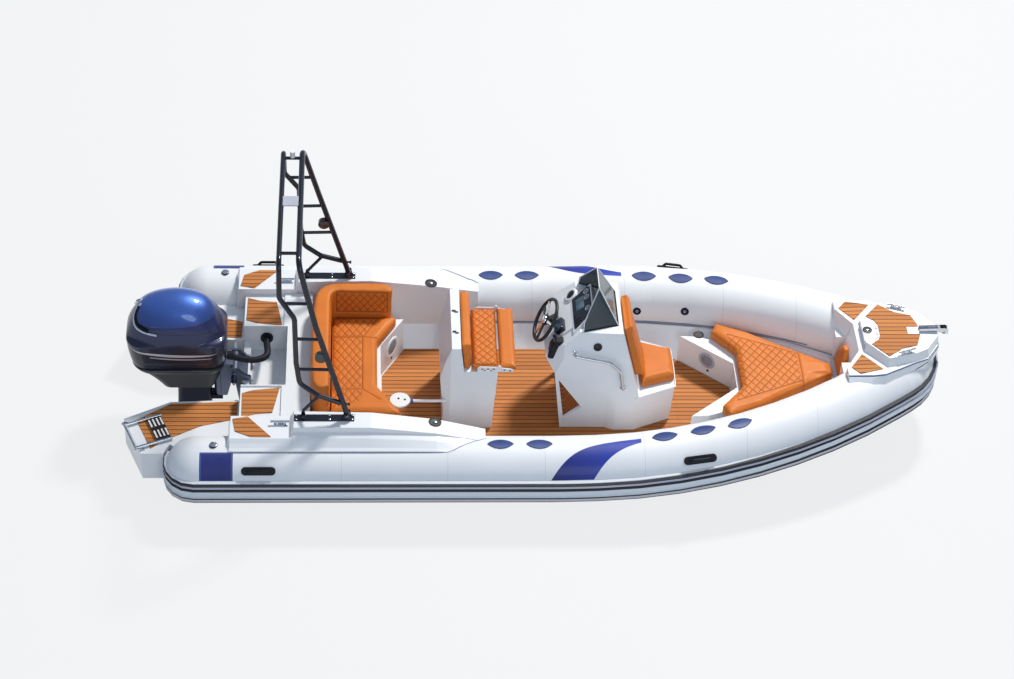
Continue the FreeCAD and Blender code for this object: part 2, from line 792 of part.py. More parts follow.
def make_console():
    base = floor_level + teak_thickness + seat_gap
    profile = [(2530, base), (2520, 200), (2457, 724), (2383, 827), (2410, 900), (2635, 1112),
               (2975, 1100), (3143, 463), (3440, 463), (3425, base)]
    body = side_prism(profile, -352, 352)
    for place in (lambda q: q, mirrored):
        # Shoulder, seat end and the facet at each aft corner
        shoulder = face_of([(2300, 352, 890), (2300, 420, 890), (2300, 420, 1200), (2300, 276, 1200)])
        body = body.cut(place(shoulder.extrude(V(1400, 0, 0))))
        seat_end = plan_prism([(3120, 352), (3445, 215), (3445, 420), (3120, 420)], 90, 1200)
        body = body.cut(place(seat_end))
        rows = [(2462, 170, 720), (2562, 200, 1025)]
        facet = loft([[(x - run, 400, z), (x - run, 352 - 0.82 * run, z), (x, 352, z), (x + 40, 400, z)]
                      for x, run, z in rows], True)
        body = body.cut(place(facet))
        # Flank under the crease: it leans in, then comes back out along a short facet
        rows = [(2430, 733, 30), (2885, 494, 30), (2962, 454, 0.5)]
        flank = loft([[(x, 352, z), (x, 380, z), (x, 380, 90), (x, 352 - depth, 90)] for x, z, depth in rows],
                     True)
        body = body.cut(place(flank))
    # Foot recess, open at its back and through a three-cornered window in each flank
    body = body.cut(side_prism([(2400, 120), (2590, 120), (2700, 350), (2500, 655), (2400, 600)], -305, 305))
    body = body.cut(side_prism([(2492, 655), (2690, 345), (2552, 222)], -400, 400))
    nodes["console"] = body

    # Dash panel on the sloped top
    slope = math.atan2(1112 - 900, 2635 - 2410)
    run = V(math.cos(slope), 0, math.sin(slope))
    up = V(-math.sin(slope), 0, math.cos(slope))
    start = V(2635, 0, 1112) - run * 190 + up * seat_gap
    corners = [start + V(0, -205, 0), start + run * 180 + V(0, -205, 0), start + run * 180 + V(0, 205, 0),
               start + V(0, 205, 0)]
    panel = Part.Face(Part.makePolygon(corners + [corners[0]])).extrude(up * 12)
    nodes["dash_panel"] = panel

    # Windscreen: front pane and two side panes
    foot = [(2660, 290), (2940, 200), (2940, -200), (2660, -290)]
    crown = [(2640, 215), (2775, 120), (2775, -120), (2640, -215)]
    outer = loft([[(x, y, 1104) for x, y in foot], [(x, y, 1420) for x, y in crown]], True)
    inner = loft([[(x - 8, y * 0.965, 1095) for x, y in foot], [(x - 8, y * 0.965, 1430) for x, y in crown]],
                 True)
    screen = outer.cut(inner)
    screen = screen.cut(face_of([(2500, -500, 1104), (2664, -500, 1104), (2690, -500, 1500),
                                 (2500, -500, 1500)]).extrude(V(0, 1000, 0)))
    screen = screen.cut(face_of([(2500, -500, 1210), (2500, -500, 1500), (2790, -500, 1500),
                                 (2790, -500, 1425), (2660, -500, 1180)]).extrude(V(0, 1000, 0)))
    top_line = [(2500, 900), (3200, 900), (3200, 1092.35), (2975, 1100.3), (2635, 1112.3), (2500, 1117.1)]
    screen = screen.cut(side_prism(top_line, -500, 500))
    nodes["windscreen"] = sorted(screen.Solids, key=lambda q: -q.Volume)[0]

    # Wheel column
    axis = wheel_axis()
    hub = V(*wheel_centre)
    column = Part.makeCylinder(30, 134.7, hub - axis * 148, axis)
    boss = Part.makeCylinder(55, 60, hub - axis * 150, axis)
    column = column.fuse(boss).cut(nodes["console"])
    column = sorted(column.Solids, key=lambda q: -q.Volume)[0]
    nodes["steering_column"] = column

    # Wheel: rim, three spokes and a hub, made flat and then tilted
    rim = Part.makeTorus(wheel_radius - 14, 14)
    boss = Part.makeCylinder(42, 26, V(0, 0, -13))
    parts = [rim, boss]
    for angle in (90, 210, 330):
        spoke = box(30, wheel_radius - 16, -17, 17, -4, 4)
        spoke.rotate(V(0, 0, 0), V(0, 0, 1), angle)
        parts.append(spoke)
    wheel = fused(parts)
    wheel.rotate(V(0, 0, 0), V(0, 1, 0), -(90 - wheel_tilt))
    wheel.translate(hub)
    nodes["steering_wheel"] = wheel

    # Throttle binnacle and lever
    binnacle = loft([rounded_ring(2398, 2540, 47, 840, 22), rounded_ring(2412, 2532, 44, 950, 22),
                     rounded_ring(2435, 2520, 32, 1000, 20)], True)
    lever = rod((2470, -40, 960), (2440, -58, 1085), 8)
    knob = Part.makeSphere(17, V(2438, -59, 1092))
    throttle = fused([binnacle, lever, knob])
    throttle.translate(V(0, -255, 0))
    throttle = throttle.cut(nodes["console"])
    nodes["throttle"] = sorted(throttle.Solids, key=lambda q: -q.Volume)[0]

    rails = []
    for s in (1, -1):
        y = s * 386
        low = s * 351.7
        rail = pipe([(2600, low - s * 25, 932), (2600, y - s * 8, 932), (2885, y, 868), (2970, y, 776),
                     (3004, y, 579), (3006, low, 579)], 12, 40)
        rails.append(rail.cut(nodes["console"]))
    nodes["grab_rail"] = Part.makeCompound(rails)

    seat = plan_prism([(3165, -250), (3445, -160), (3445, 160), (3165, 250)], 463 + soft_gap, 545)
    seat = round_edges(seat, 16, lambda e: e.BoundBox.ZMin > 540)
    nodes["console_seat"] = seat
    back = side_prism([(3120.4, 552), (2986.3, 1060), (3040, 1090), (3195, 552)], -205, 205)
    nodes["console_backrest"] = back


# Helm seat
def make_helm():
    base = floor_level + teak_thickness + seat_gap
    profile = [(1585, base), (1590, 300), (1560, 630), (1600, 830), (1644, 985), (1716, 985), (1745, 742),
               (2010, 742), (1982, base)]
    body = side_prism(profile, -352, 352)
    for s in (1, -1):
        body = body.cut(plan_prism([(1500, s * 352), (1500, s * 270), (1640, s * 352)], 50, 1200))
        body = body.cut(box(1770, 2100, min(s * 330, s * 400), max(s * 330, s * 400), 50, 470))
    nodes["helm_box"] = body
    seat = box(1803, 2018, -345.6, 345.6, 742 + soft_gap, 800)
    nodes["helm_seat"] = round_edges(seat, 14, lambda e: e.BoundBox.ZMin > 795)
    bolster = box(2018.7, 2160, -345.6, 345.6, 742 + soft_gap, 800)
    nodes["helm_bolster"] = round_edges(bolster, 22, lambda e: e.BoundBox.XMin > 2155
                                        and e.BoundBox.YLength > 300)
    back = side_prism([(1745.6, 742.4), (1802.6, 742.4), (1790, 1005), (1714, 1005)], -325, 325)
    nodes["helm_backrest"] = round_edges(back, 14, lambda e: e.BoundBox.YLength > 300
                                         and e.BoundBox.ZMin > 990)
    # Side plates that carry the flip-up bolster
    ear = side_prism([(1848, 742.3), (2130, 742.3), (2130, 768), (2040, 782), (2031, 800), (2019, 812),
                      (2007, 800), (1996, 790), (1866, 795), (1848, 780)], 346, 352)
    for x in (1885, 1930, 1975):
        ear = ear.cut(rod((x, 340, 768), (x, 360, 768), 11))
    pin = rod((2019, 352, 800), (2019, 358, 800), 9)
    nodes["bolster_brackets"] = Part.makeCompound(both_sides(fused([ear, pin])))
    # Drinks table on an arm
    arm = rod((1607.3, -345, 420), (1250, -345, 420), 12)
    plate = Part.makeCylinder(79, 14, V(1247.5, -350, 424))
    nodes["side_table"] = fused([arm, plate])


# Aft lounge
def make_lounge():
    back = cockpit_aft_x + seat_gap
    half = floor_half - 10
    wing = 1096 + 0.587 * (half - 268)
    outline = [(back, -half), (wing, -half), (1096, -268), (1096, 268), (wing, half), (back, half)]
    nodes["lounge_base"] = plan_prism(outline, floor_level + seat_gap, 440)
    seat_top = 545.0
    wing = 1070 + 0.606 * (floor_half - 290)
    outline = [(690, -floor_half), (wing, -floor_half), (1070, -290), (1070, 225),
               (wing - 23, floor_half - 80), (690, floor_half - 80)]
    seat = plan_prism(outline, 440 + soft_gap, seat_top)
    nodes["lounge_seat"] = round_edges(seat, 20, lambda e: e.BoundBox.ZMin > seat_top - 1
                                       and e.BoundBox.XMin > 1000)
    port = floor_half - 75
    nodes["lounge_backrest"] = fused([
        side_prism([(545.7, 592), (545.7, 560), (600, 440.4), (684, 440.4), (668, 822), (575, 822)],
                   -floor_half - 15, port),
        face_of([(600, port, 440.4), (600, port + 115, 592), (600, port + 115, 822), (600, port + 35, 822),
                 (600, port, 560)]).extrude(V(590, 0, 0)),
    ])


# Arch
# Legs: x, then y and z from the pivot, up the port side to the crown's middle
crown_height = 1390.0
crown_bar_inset = 266.0
fore_leg = [(arch_pivot_x, 0, 0), (608, -50, 845), (486, -146, crown_height - 10)]
aft_leg = [(785, 2, 120), (610, -14, 190), (478, -21, 305), (455, -36, 505), (450, -64, 925),
           (340, -93, crown_height - 285), (341, -158, crown_height - 10)]
rungs = [((362, -87, crown_height - 335), (560, -84, crown_height - 335)), ((452, -50, 735), (632, -43, 735)),
         ((456, -31, 445), (714, -23, 445)), ((625, -14, 183), (500, -14, 23))]


def hoop(leg, radius):
    px, py, pz = arch_pivot
    port = [(x, py + y, pz + z) for x, y, z in leg]
    crown = (leg[-1][0], 0, pz + crown_height)
    return pipe(port + [crown] + [(x, -y, z) for x, y, z in reversed(port)], radius, 90)


def make_arch():
    px, py, pz = arch_pivot
    parts = [hoop(fore_leg, arch_tube), hoop(aft_leg, arch_tube - 2)]
    for (ax, ay, az), (bx, by, bz) in rungs:
        parts += both_sides(rod((ax, py + ay, pz + az), (bx, py + by, pz + bz), 13))
    crown = pz + crown_height - 2
    bar_y = py - crown_bar_inset
    for y in (bar_y, 0, -bar_y):
        parts.append(rod((341, y, crown), (486, y, crown), 13))
    parts += both_sides(rod((px, py - 26, pz), (px, py + 26, pz), 20))
    arch = parts[0].fuse(parts[1:])
    for s in (1, -1):
        arch = arch.cut(rod((px, s * py - 80, pz), (px, s * py + 80, pz), 8.3))
    nodes["arch"] = arch

    foot_z = pod_top + 0.4
    feet = []
    for s in (1, -1):
        parts = [box(430, 890, -34, 34, foot_z, foot_z + 6.6)]
        for y in (-34, 29):
            parts.append(side_prism([(px - 30, foot_z + 3), (px + 30, foot_z + 3), (px + 22, pz + 20),
                                     (px - 22, pz + 20)], y, y + 5))
        parts.append(rod((px, -42, pz), (px, 42, pz), 8))
        for y in (-24, 19):
            parts.append(side_prism([(480, foot_z + 3), (520, foot_z + 3), (512, foot_z + 50),
                                     (488, foot_z + 50)], y, y + 5))
        foot = fused(parts)
        foot.translate(V(0, s * py, 0))
        feet.append(foot)
    nodes["arch_feet"] = Part.makeCompound(feet)

    # Side lamps on the fore legs, a masthead light on the crown
    lamps = []
    for s in (1, -1):
        lamp = rod((640, s * (py - 64), pz + 555), (640, s * (py - 26), pz + 555), 45)
        lamps.append(lamp.cut(nodes["arch"]))
    lamps.append(rod((414, bar_y, crown + 13.3), (414, bar_y, crown + 67), 20))
    nodes["arch_lamps"] = Part.makeCompound([sorted(q.Solids, key=lambda t: -t.Volume)[0] for q in lamps])


# Outboard engine
prop_x = -738.0
# Blade sections: radius, half chord, pitch angle, sweep back, half thickness
blade_rows = [
    (38, 46, 66, 0, 7.0),
    (80, 70, 56, 3, 5.5),
    (120, 80, 47, 8, 4.2),
    (155, 70, 40, 16, 3.2),
    (prop_radius - 6, 40, 35, 26, 2.0),
]


def blade_section(r, chord, pitch, sweep, thick):
    # A lens of two arcs in the level plane at height r.
    a = math.radians(pitch)
    along = V(math.sin(a), math.cos(a), 0)
    out = V(math.cos(a), -math.sin(a), 0)
    middle = along * -sweep + V(0, 0, r)
    nose = middle + along * chord
    tail = middle - along * chord
    back = Part.Arc(nose, middle + out * (thick * 1.6), tail).toShape()
    face = Part.Arc(tail, middle - out * (thick * 0.4), nose).toShape()
    return Part.Wire([back, face])


def make_engine():
    # Clamp bracket: two plates over the transom and the tilt tube
    plates = []
    for y in (-128, 106):
        aft = -seat_gap
        top = transom_top + seat_gap
        fore = transom_thickness + seat_gap
        plates.append(side_prism([(-14, 60), (aft, 60), (aft, top), (fore, top), (fore, 334),
                                  (fore + 14, 334), (fore + 14, 470), (20, 490), (-30, 545), (-92, 545),
                                  (-92, 470), (-60, 440), (-30, 200)], y, y + 22))
    bridge = box(-30, 40, -107, 107, top, 455)
    bracket = fused(plates + [bridge])
    bracket = bracket.cut(rod((tilt_x, -200, tilt_z), (tilt_x, 200, tilt_z), 18.3))
    nodes["clamp_bracket"] = bracket

    barrel = rod((tilt_x, -105.5, tilt_z), (tilt_x, 105.5, tilt_z), 34)
    shaft = rod((tilt_x, -140, tilt_z), (tilt_x, 140, tilt_z), 18)
    post = rod((steer_x, 0, 190), (steer_x, 0, 548), 44)
    web = side_prism([(-150, 200), (-130, 200), (-60, 470), (-60, 535), (-175, 545), (-175, 200)], -55, 55)
    swivel = fused([barrel, shaft, post, web])
    swivel = swivel.cut(rod((steer_x, 0, 100), (steer_x, 0, 700), 20.3))
    nodes["swivel_bracket"] = swivel

    # Leg: steering shaft with upper and lower yokes, exhaust housing
    mid = loft([rounded_ring(-520, -252, 95, 560, 60), rounded_ring(-520, -250, 85, 330, 60),
                rounded_ring(-540, -262, 62, -60, 45), rounded_ring(-560, -262, 55, -262, 40)])
    pin = rod((steer_x, 0, 165), (steer_x, 0, 572), 20)
    upper = box(-300, steer_x + 12, -50, 50, 562, 585)
    lower = box(-300, steer_x + 22, -45, 45, 150, 188)
    nodes["midsection"] = fused([mid, pin, upper, lower])

    apron = loft([rounded_ring(-640, -215, 120, 345, 80), rounded_ring(-715, -175, 168, 470, 105),
                  rounded_ring(-800, -150, 214, 585, 120)])
    room = loft([rounded_ring(-600, -245, 102, 335, 70), rounded_ring(-690, -200, 152, 480, 90),
                 rounded_ring(-785, -165, 200, 600, 110)])
    apron = apron.cut(room)
    apron = apron.cut(box(-245, -100, -92, 92, 300, 576))
    nodes["lower_cowl"] = apron

    # Sections: aft x, fore x, half width, height, corner
    rows = [(-820, -140, 222, 585.3, 120), (-868, -118, 242, 720, 130), (-887, -109, 250, 900, 140),
            (-872, -125, 240, 1060, 140), (-820, -175, 205, 1170, 140), (-730, -260, 150, 1225, 120)]
    outer = loft([rounded_ring(*row) for row in rows])
    inner = loft([rounded_ring(a + 12, b - 12, h - 12, z - (8 if z < 600 else 12), c - 10)
                  for a, b, h, z, c in rows])
    nodes["upper_cowl"] = outer.cut(inner)
    nodes["engine_block"] = box(-760, -240, -150, 150, 585.3, 1120)

    # Gearcase, anti-ventilation plate, skeg
    plate = plan_prism([(-770, -40), (-770, 40), (-640, 110), (-330, 95), (-230, 30), (-230, -30),
                        (-330, -95), (-640, -110)], -275, -262.3)
    strut = loft([rounded_ring(-590, -265, 50, -275, 35), rounded_ring(-620, -300, 40, -500, 30)])
    rings = []
    for x, r in ((-668, 46), (-600, 60), (-450, 60), (-330, 44), (-275, 18)):
        rings.append(Part.Wire([Part.Circle(V(x, 0, prop_shaft_z), V(1, 0, 0), r).toShape()]))
    torpedo = Part.makeLoft(rings, True, False)
    skeg = side_prism([(-620, -520), (-400, -520), (-470, -690), (-600, -715)], -8, 8)
    shaft = rod((-840, 0, prop_shaft_z), (-660, 0, prop_shaft_z), 11)
    nodes["gearcase"] = fused([plate, strut, torpedo, skeg, shaft])

    hub = rod((-800, 0, prop_shaft_z), (-674, 0, prop_shaft_z), 48)
    blades = [hub]
    for k in range(3):
        blade = Part.makeLoft([blade_section(*row) for row in blade_rows], True, False)
        blade.rotate(V(0, 0, 0), V(1, 0, 0), 120 * k)
        blade.translate(V(prop_x, 0, prop_shaft_z))
        blades.append(blade)
    prop = blades[0].fuse(blades[1:])
    prop = prop.cut(rod((-900, 0, prop_shaft_z), (-600, 0, prop_shaft_z), 11.3))
    nodes["propeller"] = prop

    # Rigging hose from the well's side to the engine
    route = [(180, 334, 470), (180, 250, 470), (196, 130, 520), (190, 10, 560), (110, -62, 590),
             (20, -85, 620), (-60, -88, 650), (-112, -88, 668)]
    nodes["rigging_hose"] = pipe(route, 27, 200)
    nodes["hose_boot"] = rod((180, 339.6, 470), (180, 320, 470), 50).cut(
        rod((180, 345, 470), (180, 300, 470), 27.5))


def make_cleats():
    # Cleats: place and heading
    cleats = []
    stern = (322, inside(0, 173), crest + pod_step)
    bow = (bow_x - 66, 266, bow_top)
    for at, heading in ((stern, 0), (bow, -18)):
        foot = box(-45, 45, -14, 14, 0, 5)
        horn = rod((-72, 0, 30), (72, 0, 30), 9)
        legs = [rod((q, 0, 0), (q, 0, 30), 8) for q in (-28, 28)]
        cleat = turned(fused([horn, foot] + legs), at, heading)
        cleat.translate(V(0, 0, seat_gap))
        cleats += both_sides(cleat)
    nodes["cleats"] = Part.makeCompound(cleats)


def build():
    make_hull()
    make_floor()
    make_collar()
    make_tube_pads()
    make_fittings()
    make_pods()
    make_stern()
    make_ladder()
    make_bow()
    make_bow_seat()
    make_console()
    make_helm()
    make_lounge()
    make_arch()
    make_engine()
    make_cleats()


if __name__ == "__main__":
    build()
    for name, shape in nodes.items():
        shape.exportStep("parts/" + name + ".step")
        print(name, shape.isValid(), len(shape.Solids), len(shape.Faces), round(shape.Volume / 1e9, 4))
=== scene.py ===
import functools
import json
import math

import bmesh
import bpy
import numpy as np
from mathutils import Matrix, Vector
from mathutils.bvhtree import BVHTree


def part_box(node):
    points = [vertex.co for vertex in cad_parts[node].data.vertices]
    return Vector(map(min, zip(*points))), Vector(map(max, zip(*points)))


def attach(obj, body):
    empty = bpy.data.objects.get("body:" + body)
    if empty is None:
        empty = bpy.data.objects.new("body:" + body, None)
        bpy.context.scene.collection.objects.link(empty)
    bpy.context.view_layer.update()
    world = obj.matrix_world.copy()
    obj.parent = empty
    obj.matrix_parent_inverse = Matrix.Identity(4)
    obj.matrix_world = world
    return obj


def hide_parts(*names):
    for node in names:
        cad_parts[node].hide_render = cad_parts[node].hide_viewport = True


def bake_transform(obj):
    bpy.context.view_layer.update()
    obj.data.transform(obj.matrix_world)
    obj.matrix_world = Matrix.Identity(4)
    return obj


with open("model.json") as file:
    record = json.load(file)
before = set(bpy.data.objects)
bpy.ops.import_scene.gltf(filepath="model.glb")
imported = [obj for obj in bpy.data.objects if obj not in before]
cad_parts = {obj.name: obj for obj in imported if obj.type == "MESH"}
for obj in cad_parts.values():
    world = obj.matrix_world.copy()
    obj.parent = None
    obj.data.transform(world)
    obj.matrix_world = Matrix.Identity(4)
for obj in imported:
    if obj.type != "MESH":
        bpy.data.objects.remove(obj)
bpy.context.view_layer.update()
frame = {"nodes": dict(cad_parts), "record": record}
nodes = frame["nodes"]
scene = bpy.context.scene
print("frame loaded")


# Shader writing: a float socket with arithmetic, and a material builder
class Term:
    def __init__(self, shade, socket):
        self.shade = shade
        self.socket = socket

    def math(self, operation, *others, clamp=False):
        values = {i: v for i, v in enumerate((self,) + others)}
        node = self.shade.node("ShaderNodeMath", {"operation": operation, "use_clamp": clamp}, values)
        return Term(self.shade, node.outputs[0])

    def swapped(self, operation, other):
        node = self.shade.node("ShaderNodeMath", {"operation": operation}, {0: other, 1: self})
        return Term(self.shade, node.outputs[0])

    def __add__(self, other):
        return self.math("ADD", other)

    def __radd__(self, other):
        return self.math("ADD", other)

    def __sub__(self, other):
        return self.math("SUBTRACT", other)

    def __rsub__(self, other):
        return self.swapped("SUBTRACT", other)

    def __mul__(self, other):
        return self.math("MULTIPLY", other)

    def __rmul__(self, other):
        return self.math("MULTIPLY", other)

    def __truediv__(self, other):
        return self.math("DIVIDE", other)

    def __rtruediv__(self, other):
        return self.swapped("DIVIDE", other)

    def __pow__(self, other):
        return self.math("POWER", other)

    def __abs__(self):
        return self.math("ABSOLUTE")

    def least(self, other):
        return self.math("MINIMUM", other)

    def most(self, other):
        return self.math("MAXIMUM", other)

    def below(self, limit):
        return self.math("LESS_THAN", limit)

    def above(self, limit):
        return self.math("GREATER_THAN", limit)

    def wrapped(self, period):
        return self.math("PINGPONG", period)

    def ramp(self, low, high):
        return ((self - low) / (high - low)).math("ADD", 0.0, clamp=True)

    def exp(self):
        return self.math("EXPONENT")


class Shade:
    def __init__(self, name):
        self.material = bpy.data.materials.new(name)
        self.material.use_nodes = True
        self.tree = self.material.node_tree
        self.bsdf = self.tree.nodes["Principled BSDF"]
        self.place = self.node("ShaderNodeTexCoord").outputs["Object"]
        split = self.node("ShaderNodeSeparateXYZ", values={0: self.place})
        self.x, self.y, self.z = [Term(self, out) for out in split.outputs]

    def node(self, kind, settings=None, values=None):
        made = self.tree.nodes.new(kind)
        for name, value in (settings or {}).items():
            setattr(made, name, value)
        for name, value in (values or {}).items():
            self.feed(made.inputs[name], value)
        return made

    def feed(self, socket, value):
        if isinstance(value, Term):
            value = value.socket
        if isinstance(value, bpy.types.NodeSocket):
            self.tree.links.new(value, socket)
        elif socket.type == "RGBA" and len(value) == 3:
            socket.default_value = (*value, 1.0)
        else:
            socket.default_value = value

    def set(self, **values):
        for name, value in values.items():
            self.feed(self.bsdf.inputs[name.replace("_", " ")], value)

    def noise(self, scale, detail=3.0, stretch=None):
        place = self.place
        if stretch:
            place = self.node("ShaderNodeMapping", values={"Vector": self.place, "Scale": stretch}).outputs[0]
        made = self.node("ShaderNodeTexNoise", values={"Vector": place, "Scale": scale, "Detail": detail})
        return Term(self, made.outputs[0])

    def mix(self, low, high, factor):
        made = self.node("ShaderNodeMix", {"data_type": "RGBA"}, {0: factor, 6: low, 7: high})
        return made.outputs[2]

    def vary(self, colour, amount, scale):
        dark = tuple(c * (1 - amount) for c in colour)
        light = tuple(min(1.0, c * (1 + amount)) for c in colour)
        return self.mix(dark, light, self.noise(scale).ramp(0.3, 0.7))

    def relief(self, height, distance, strength=1.0):
        made = self.node("ShaderNodeBump", values={"Height": height, "Distance": distance, "Strength": strength})
        self.set(Normal=made.outputs[0])

    def band(self, value, middle, half, soft=0.0015):
        return 1.0 - abs(value - middle).ramp(half - soft, half + soft)

    def nearLine(self, line, u, v):
        # Distance to a straight seam, given by its two ends
        (ax, ay), (bx, by) = line
        square = (bx - ax) ** 2 + (by - ay) ** 2
        along = ((u - ax) * ((bx - ax) / square) + (v - ay) * ((by - ay) / square)).math("ADD", 0.0, clamp=True)
        across = u - ax - along * (bx - ax)
        down = v - ay - along * (by - ay)
        return (across * across + down * down) ** 0.5

    def inside(self, polygon, u, v, soft=0.002):
        # Convex outline, counter clockwise
        gaps = []
        for (ax, ay), (bx, by) in edgesOf(polygon):
            run = math.hypot(bx - ax, by - ay)
            gaps.append((u - ax) * (-(by - ay) / run) + (v - ay) * ((bx - ax) / run))
        return functools.reduce(Term.least, gaps).ramp(-soft, soft)


def most(terms):
    return functools.reduce(Term.most, terms)


def edgesOf(polygon):
    return list(zip(polygon, polygon[1:] + polygon[:1]))


# The collar's shape, as the CAD has it
collar = {
    "radius": 0.25, "halfSpread": 1.0, "level": 0.33, "bendStart": 2.76, "bendRadius": 4.25,
    "riseStart": 2.42, "riseEnd": 5.3094, "rise": 0.2162, "power": 1.43,
}


def levelAt(x):
    run = max(x - collar["riseStart"], 0.0) / (collar["riseEnd"] - collar["riseStart"])
    return collar["level"] + collar["rise"] * run ** collar["power"]


def middleAt(x):
    run = max(x - collar["bendStart"], 0.0)
    bend = collar["bendRadius"]
    return math.sqrt(bend ** 2 - run ** 2) - (bend - collar["halfSpread"]), math.asin(run / bend)


def onCollar(x, angle, side, proud=0.0):
    # A place on the collar's skin, and the way out of it
    middle, lean = middleAt(x)
    a = math.radians(angle)
    out = Vector((math.cos(a) * math.sin(lean), side * math.cos(a) * math.cos(lean), math.sin(a)))
    return Vector((x, side * middle, levelAt(x))) + out * (collar["radius"] + proud), out


def tubeLevel(s):
    run = (s.x - collar["riseStart"]).most(0.0) / (collar["riseEnd"] - collar["riseStart"])
    return run ** collar["power"] * collar["rise"] + collar["level"]


def tubeAngle(s):
    # Degrees up from the outermost line of the collar
    bend = collar["bendRadius"]
    run = (s.x - collar["bendStart"]).most(0.0)
    reach = (bend * bend - run * run) ** 0.5
    out = (abs(s.y) - reach + (bend - collar["halfSpread"])) * reach / bend
    return (s.z - tubeLevel(s)).math("ARCTAN2", out) * 57.2958


def gelcoat():
    s = Shade("gelcoat")
    s.set(Base_Color=s.vary((0.77, 0.785, 0.81), 0.02, 3.0), Roughness=s.noise(9.0).ramp(-1.6, 4.2), Coat_Weight=0.4)
    s.relief(s.noise(25.0, 2.0), 0.0004, 0.4)
    return s.material


collarMarks = {
    "seams": (0.794, 1.604, 2.35, 3.118, 3.917, 4.49), "seamHalf": 0.0022,
    "sweepAft": 2.3, "sweepFore": 3.095,
    "patchMiddle": -0.1555, "patchHalf": 0.1265, "patchAngle": 47.5, "patchRise": 0.12,
}
skinPerDegree = 0.004363  # Metres along the collar's skin


def collarFabric():
    s = Shade("collar_fabric")
    colour = s.vary((0.76, 0.775, 0.80), 0.02, 2.0)
    seams = most(s.band(s.x, at, collarMarks["seamHalf"]) for at in collarMarks["seams"])
    colour = s.mix(colour, (0.50, 0.53, 0.58), seams * 0.6)
    angle = tubeAngle(s)
    above = 100.0 - ((s.x - 2.345) * (-1 / 0.185)).exp() * 100.0
    below = 96.0 - ((s.x - 2.675) * (-1 / 0.17)).exp() * 96.0
    sweep = (above - angle).ramp(-0.5, 0.5) * (angle - below).ramp(-0.5, 0.5) * angle.above(0.0)
    sweep = sweep * s.x.below(collarMarks["sweepFore"]) * s.x.above(collarMarks["sweepAft"])
    fade = (s.x - 2.4).ramp(0.0, 0.7)
    blue = s.mix((0.010, 0.014, 0.13), (0.020, 0.050, 0.42), (fade + s.noise(3.0) * 0.3).ramp(0.1, 1.1))
    colour = s.mix(colour, blue, sweep)
    # Plain blue patch with a lighter border near the stern
    along = abs(s.x - collarMarks["patchMiddle"]) - collarMarks["patchHalf"]
    across = abs(angle - collarMarks["patchAngle"]) * skinPerDegree - collarMarks["patchRise"]
    edge = along.most(across)
    patch = (0.0 - edge).ramp(-0.001, 0.001)
    colour = s.mix(colour, s.vary((0.020, 0.028, 0.17), 0.12, 20.0), patch)
    colour = s.mix(colour, (0.08, 0.13, 0.42), s.band(edge, -0.010, 0.0022))
    s.set(Base_Color=colour, Roughness=s.noise(30.0).ramp(-1.5, 2.6), Coat_Weight=0.1, Specular_IOR_Level=0.35)
    weave = s.noise(420.0, 2.0) * 0.3 + s.noise(5.0, 3.0, (0.4, 1.0, 1.0)) * 3.0
    s.relief(weave + seams * 0.8 + patch * 0.8 + sweep * 0.4, 0.0012, 0.35)
    return s.material


def strakeRubber():
    # Bands by height from the collar's centre line: middle, half height, colour
    s = Shade("strake_rubber")
    height = s.z - tubeLevel(s)
    black, lilac, pale, pink = (0.008, 0.010, 0.018), (0.36, 0.38, 0.52), (0.62, 0.68, 0.74), (0.50, 0.46, 0.50)
    colour = s.vary((0.66, 0.68, 0.72), 0.04, 8.0)
    bands = [(0.0785, 0.0135, black), (0.053, 0.009, lilac), (0.024, 0.011, black), (-0.0235, 0.0235, pale),
             (-0.0615, 0.0085, black), (-0.084, 0.008, pink), (-0.102, 0.009, black)]
    for middle, half, tone in bands:
        colour = s.mix(colour, tone, s.band(height, middle, half))
    s.set(Base_Color=colour, Roughness=s.noise(40.0).ramp(-1.0, 2.0), Coat_Weight=0.15)
    s.relief(s.noise(300.0, 2.0), 0.0006, 0.3)
    return s.material


def plain(name, colour, roughness, metallic=0.0, grain=200.0, depth=0.0004, coat=0.0, amount=0.06, shine=0.4):
    s = Shade(name)
    spread = s.noise(grain * 0.2).ramp(-1.0, 2.0) * 0.12 + (roughness - 0.06)
    s.set(Base_Color=s.vary(colour, amount, 12.0), Roughness=spread, Metallic=metallic, Coat_Weight=coat,
          Specular_IOR_Level=shine)
    s.relief(s.noise(grain, 2.0), depth, 0.35)
    return s.material


def teak():
    s = Shade("teak")
    pitch = 0.045
    across = (s.y + 10.0).math("MODULO", pitch) - pitch / 2
    seam = abs(across).ramp(pitch / 2 - 0.0042, pitch / 2 - 0.0030)
    plank = ((s.y + 10.0) / pitch).math("FLOOR")
    tone = ((plank * 12.9898).math("SINE") * 43.7).math("FRACT")
    grain = s.noise(60.0, 4.0, (0.05, 1.0, 1.0))
    worn = s.noise(2.2, 3.0)
    wood = s.mix((0.36, 0.115, 0.024), (0.60, 0.225, 0.058), (tone * 0.45 + grain * 0.6 + worn * 0.25).ramp(0.25, 1.0))
    colour = s.mix(wood, (0.045, 0.020, 0.012), seam * 0.9)
    s.set(Base_Color=colour, Roughness=grain.ramp(-1.2, 1.6), Specular_IOR_Level=0.25)
    s.relief(grain * 0.4 - seam * 1.0, 0.0015, 0.6)
    return s.material


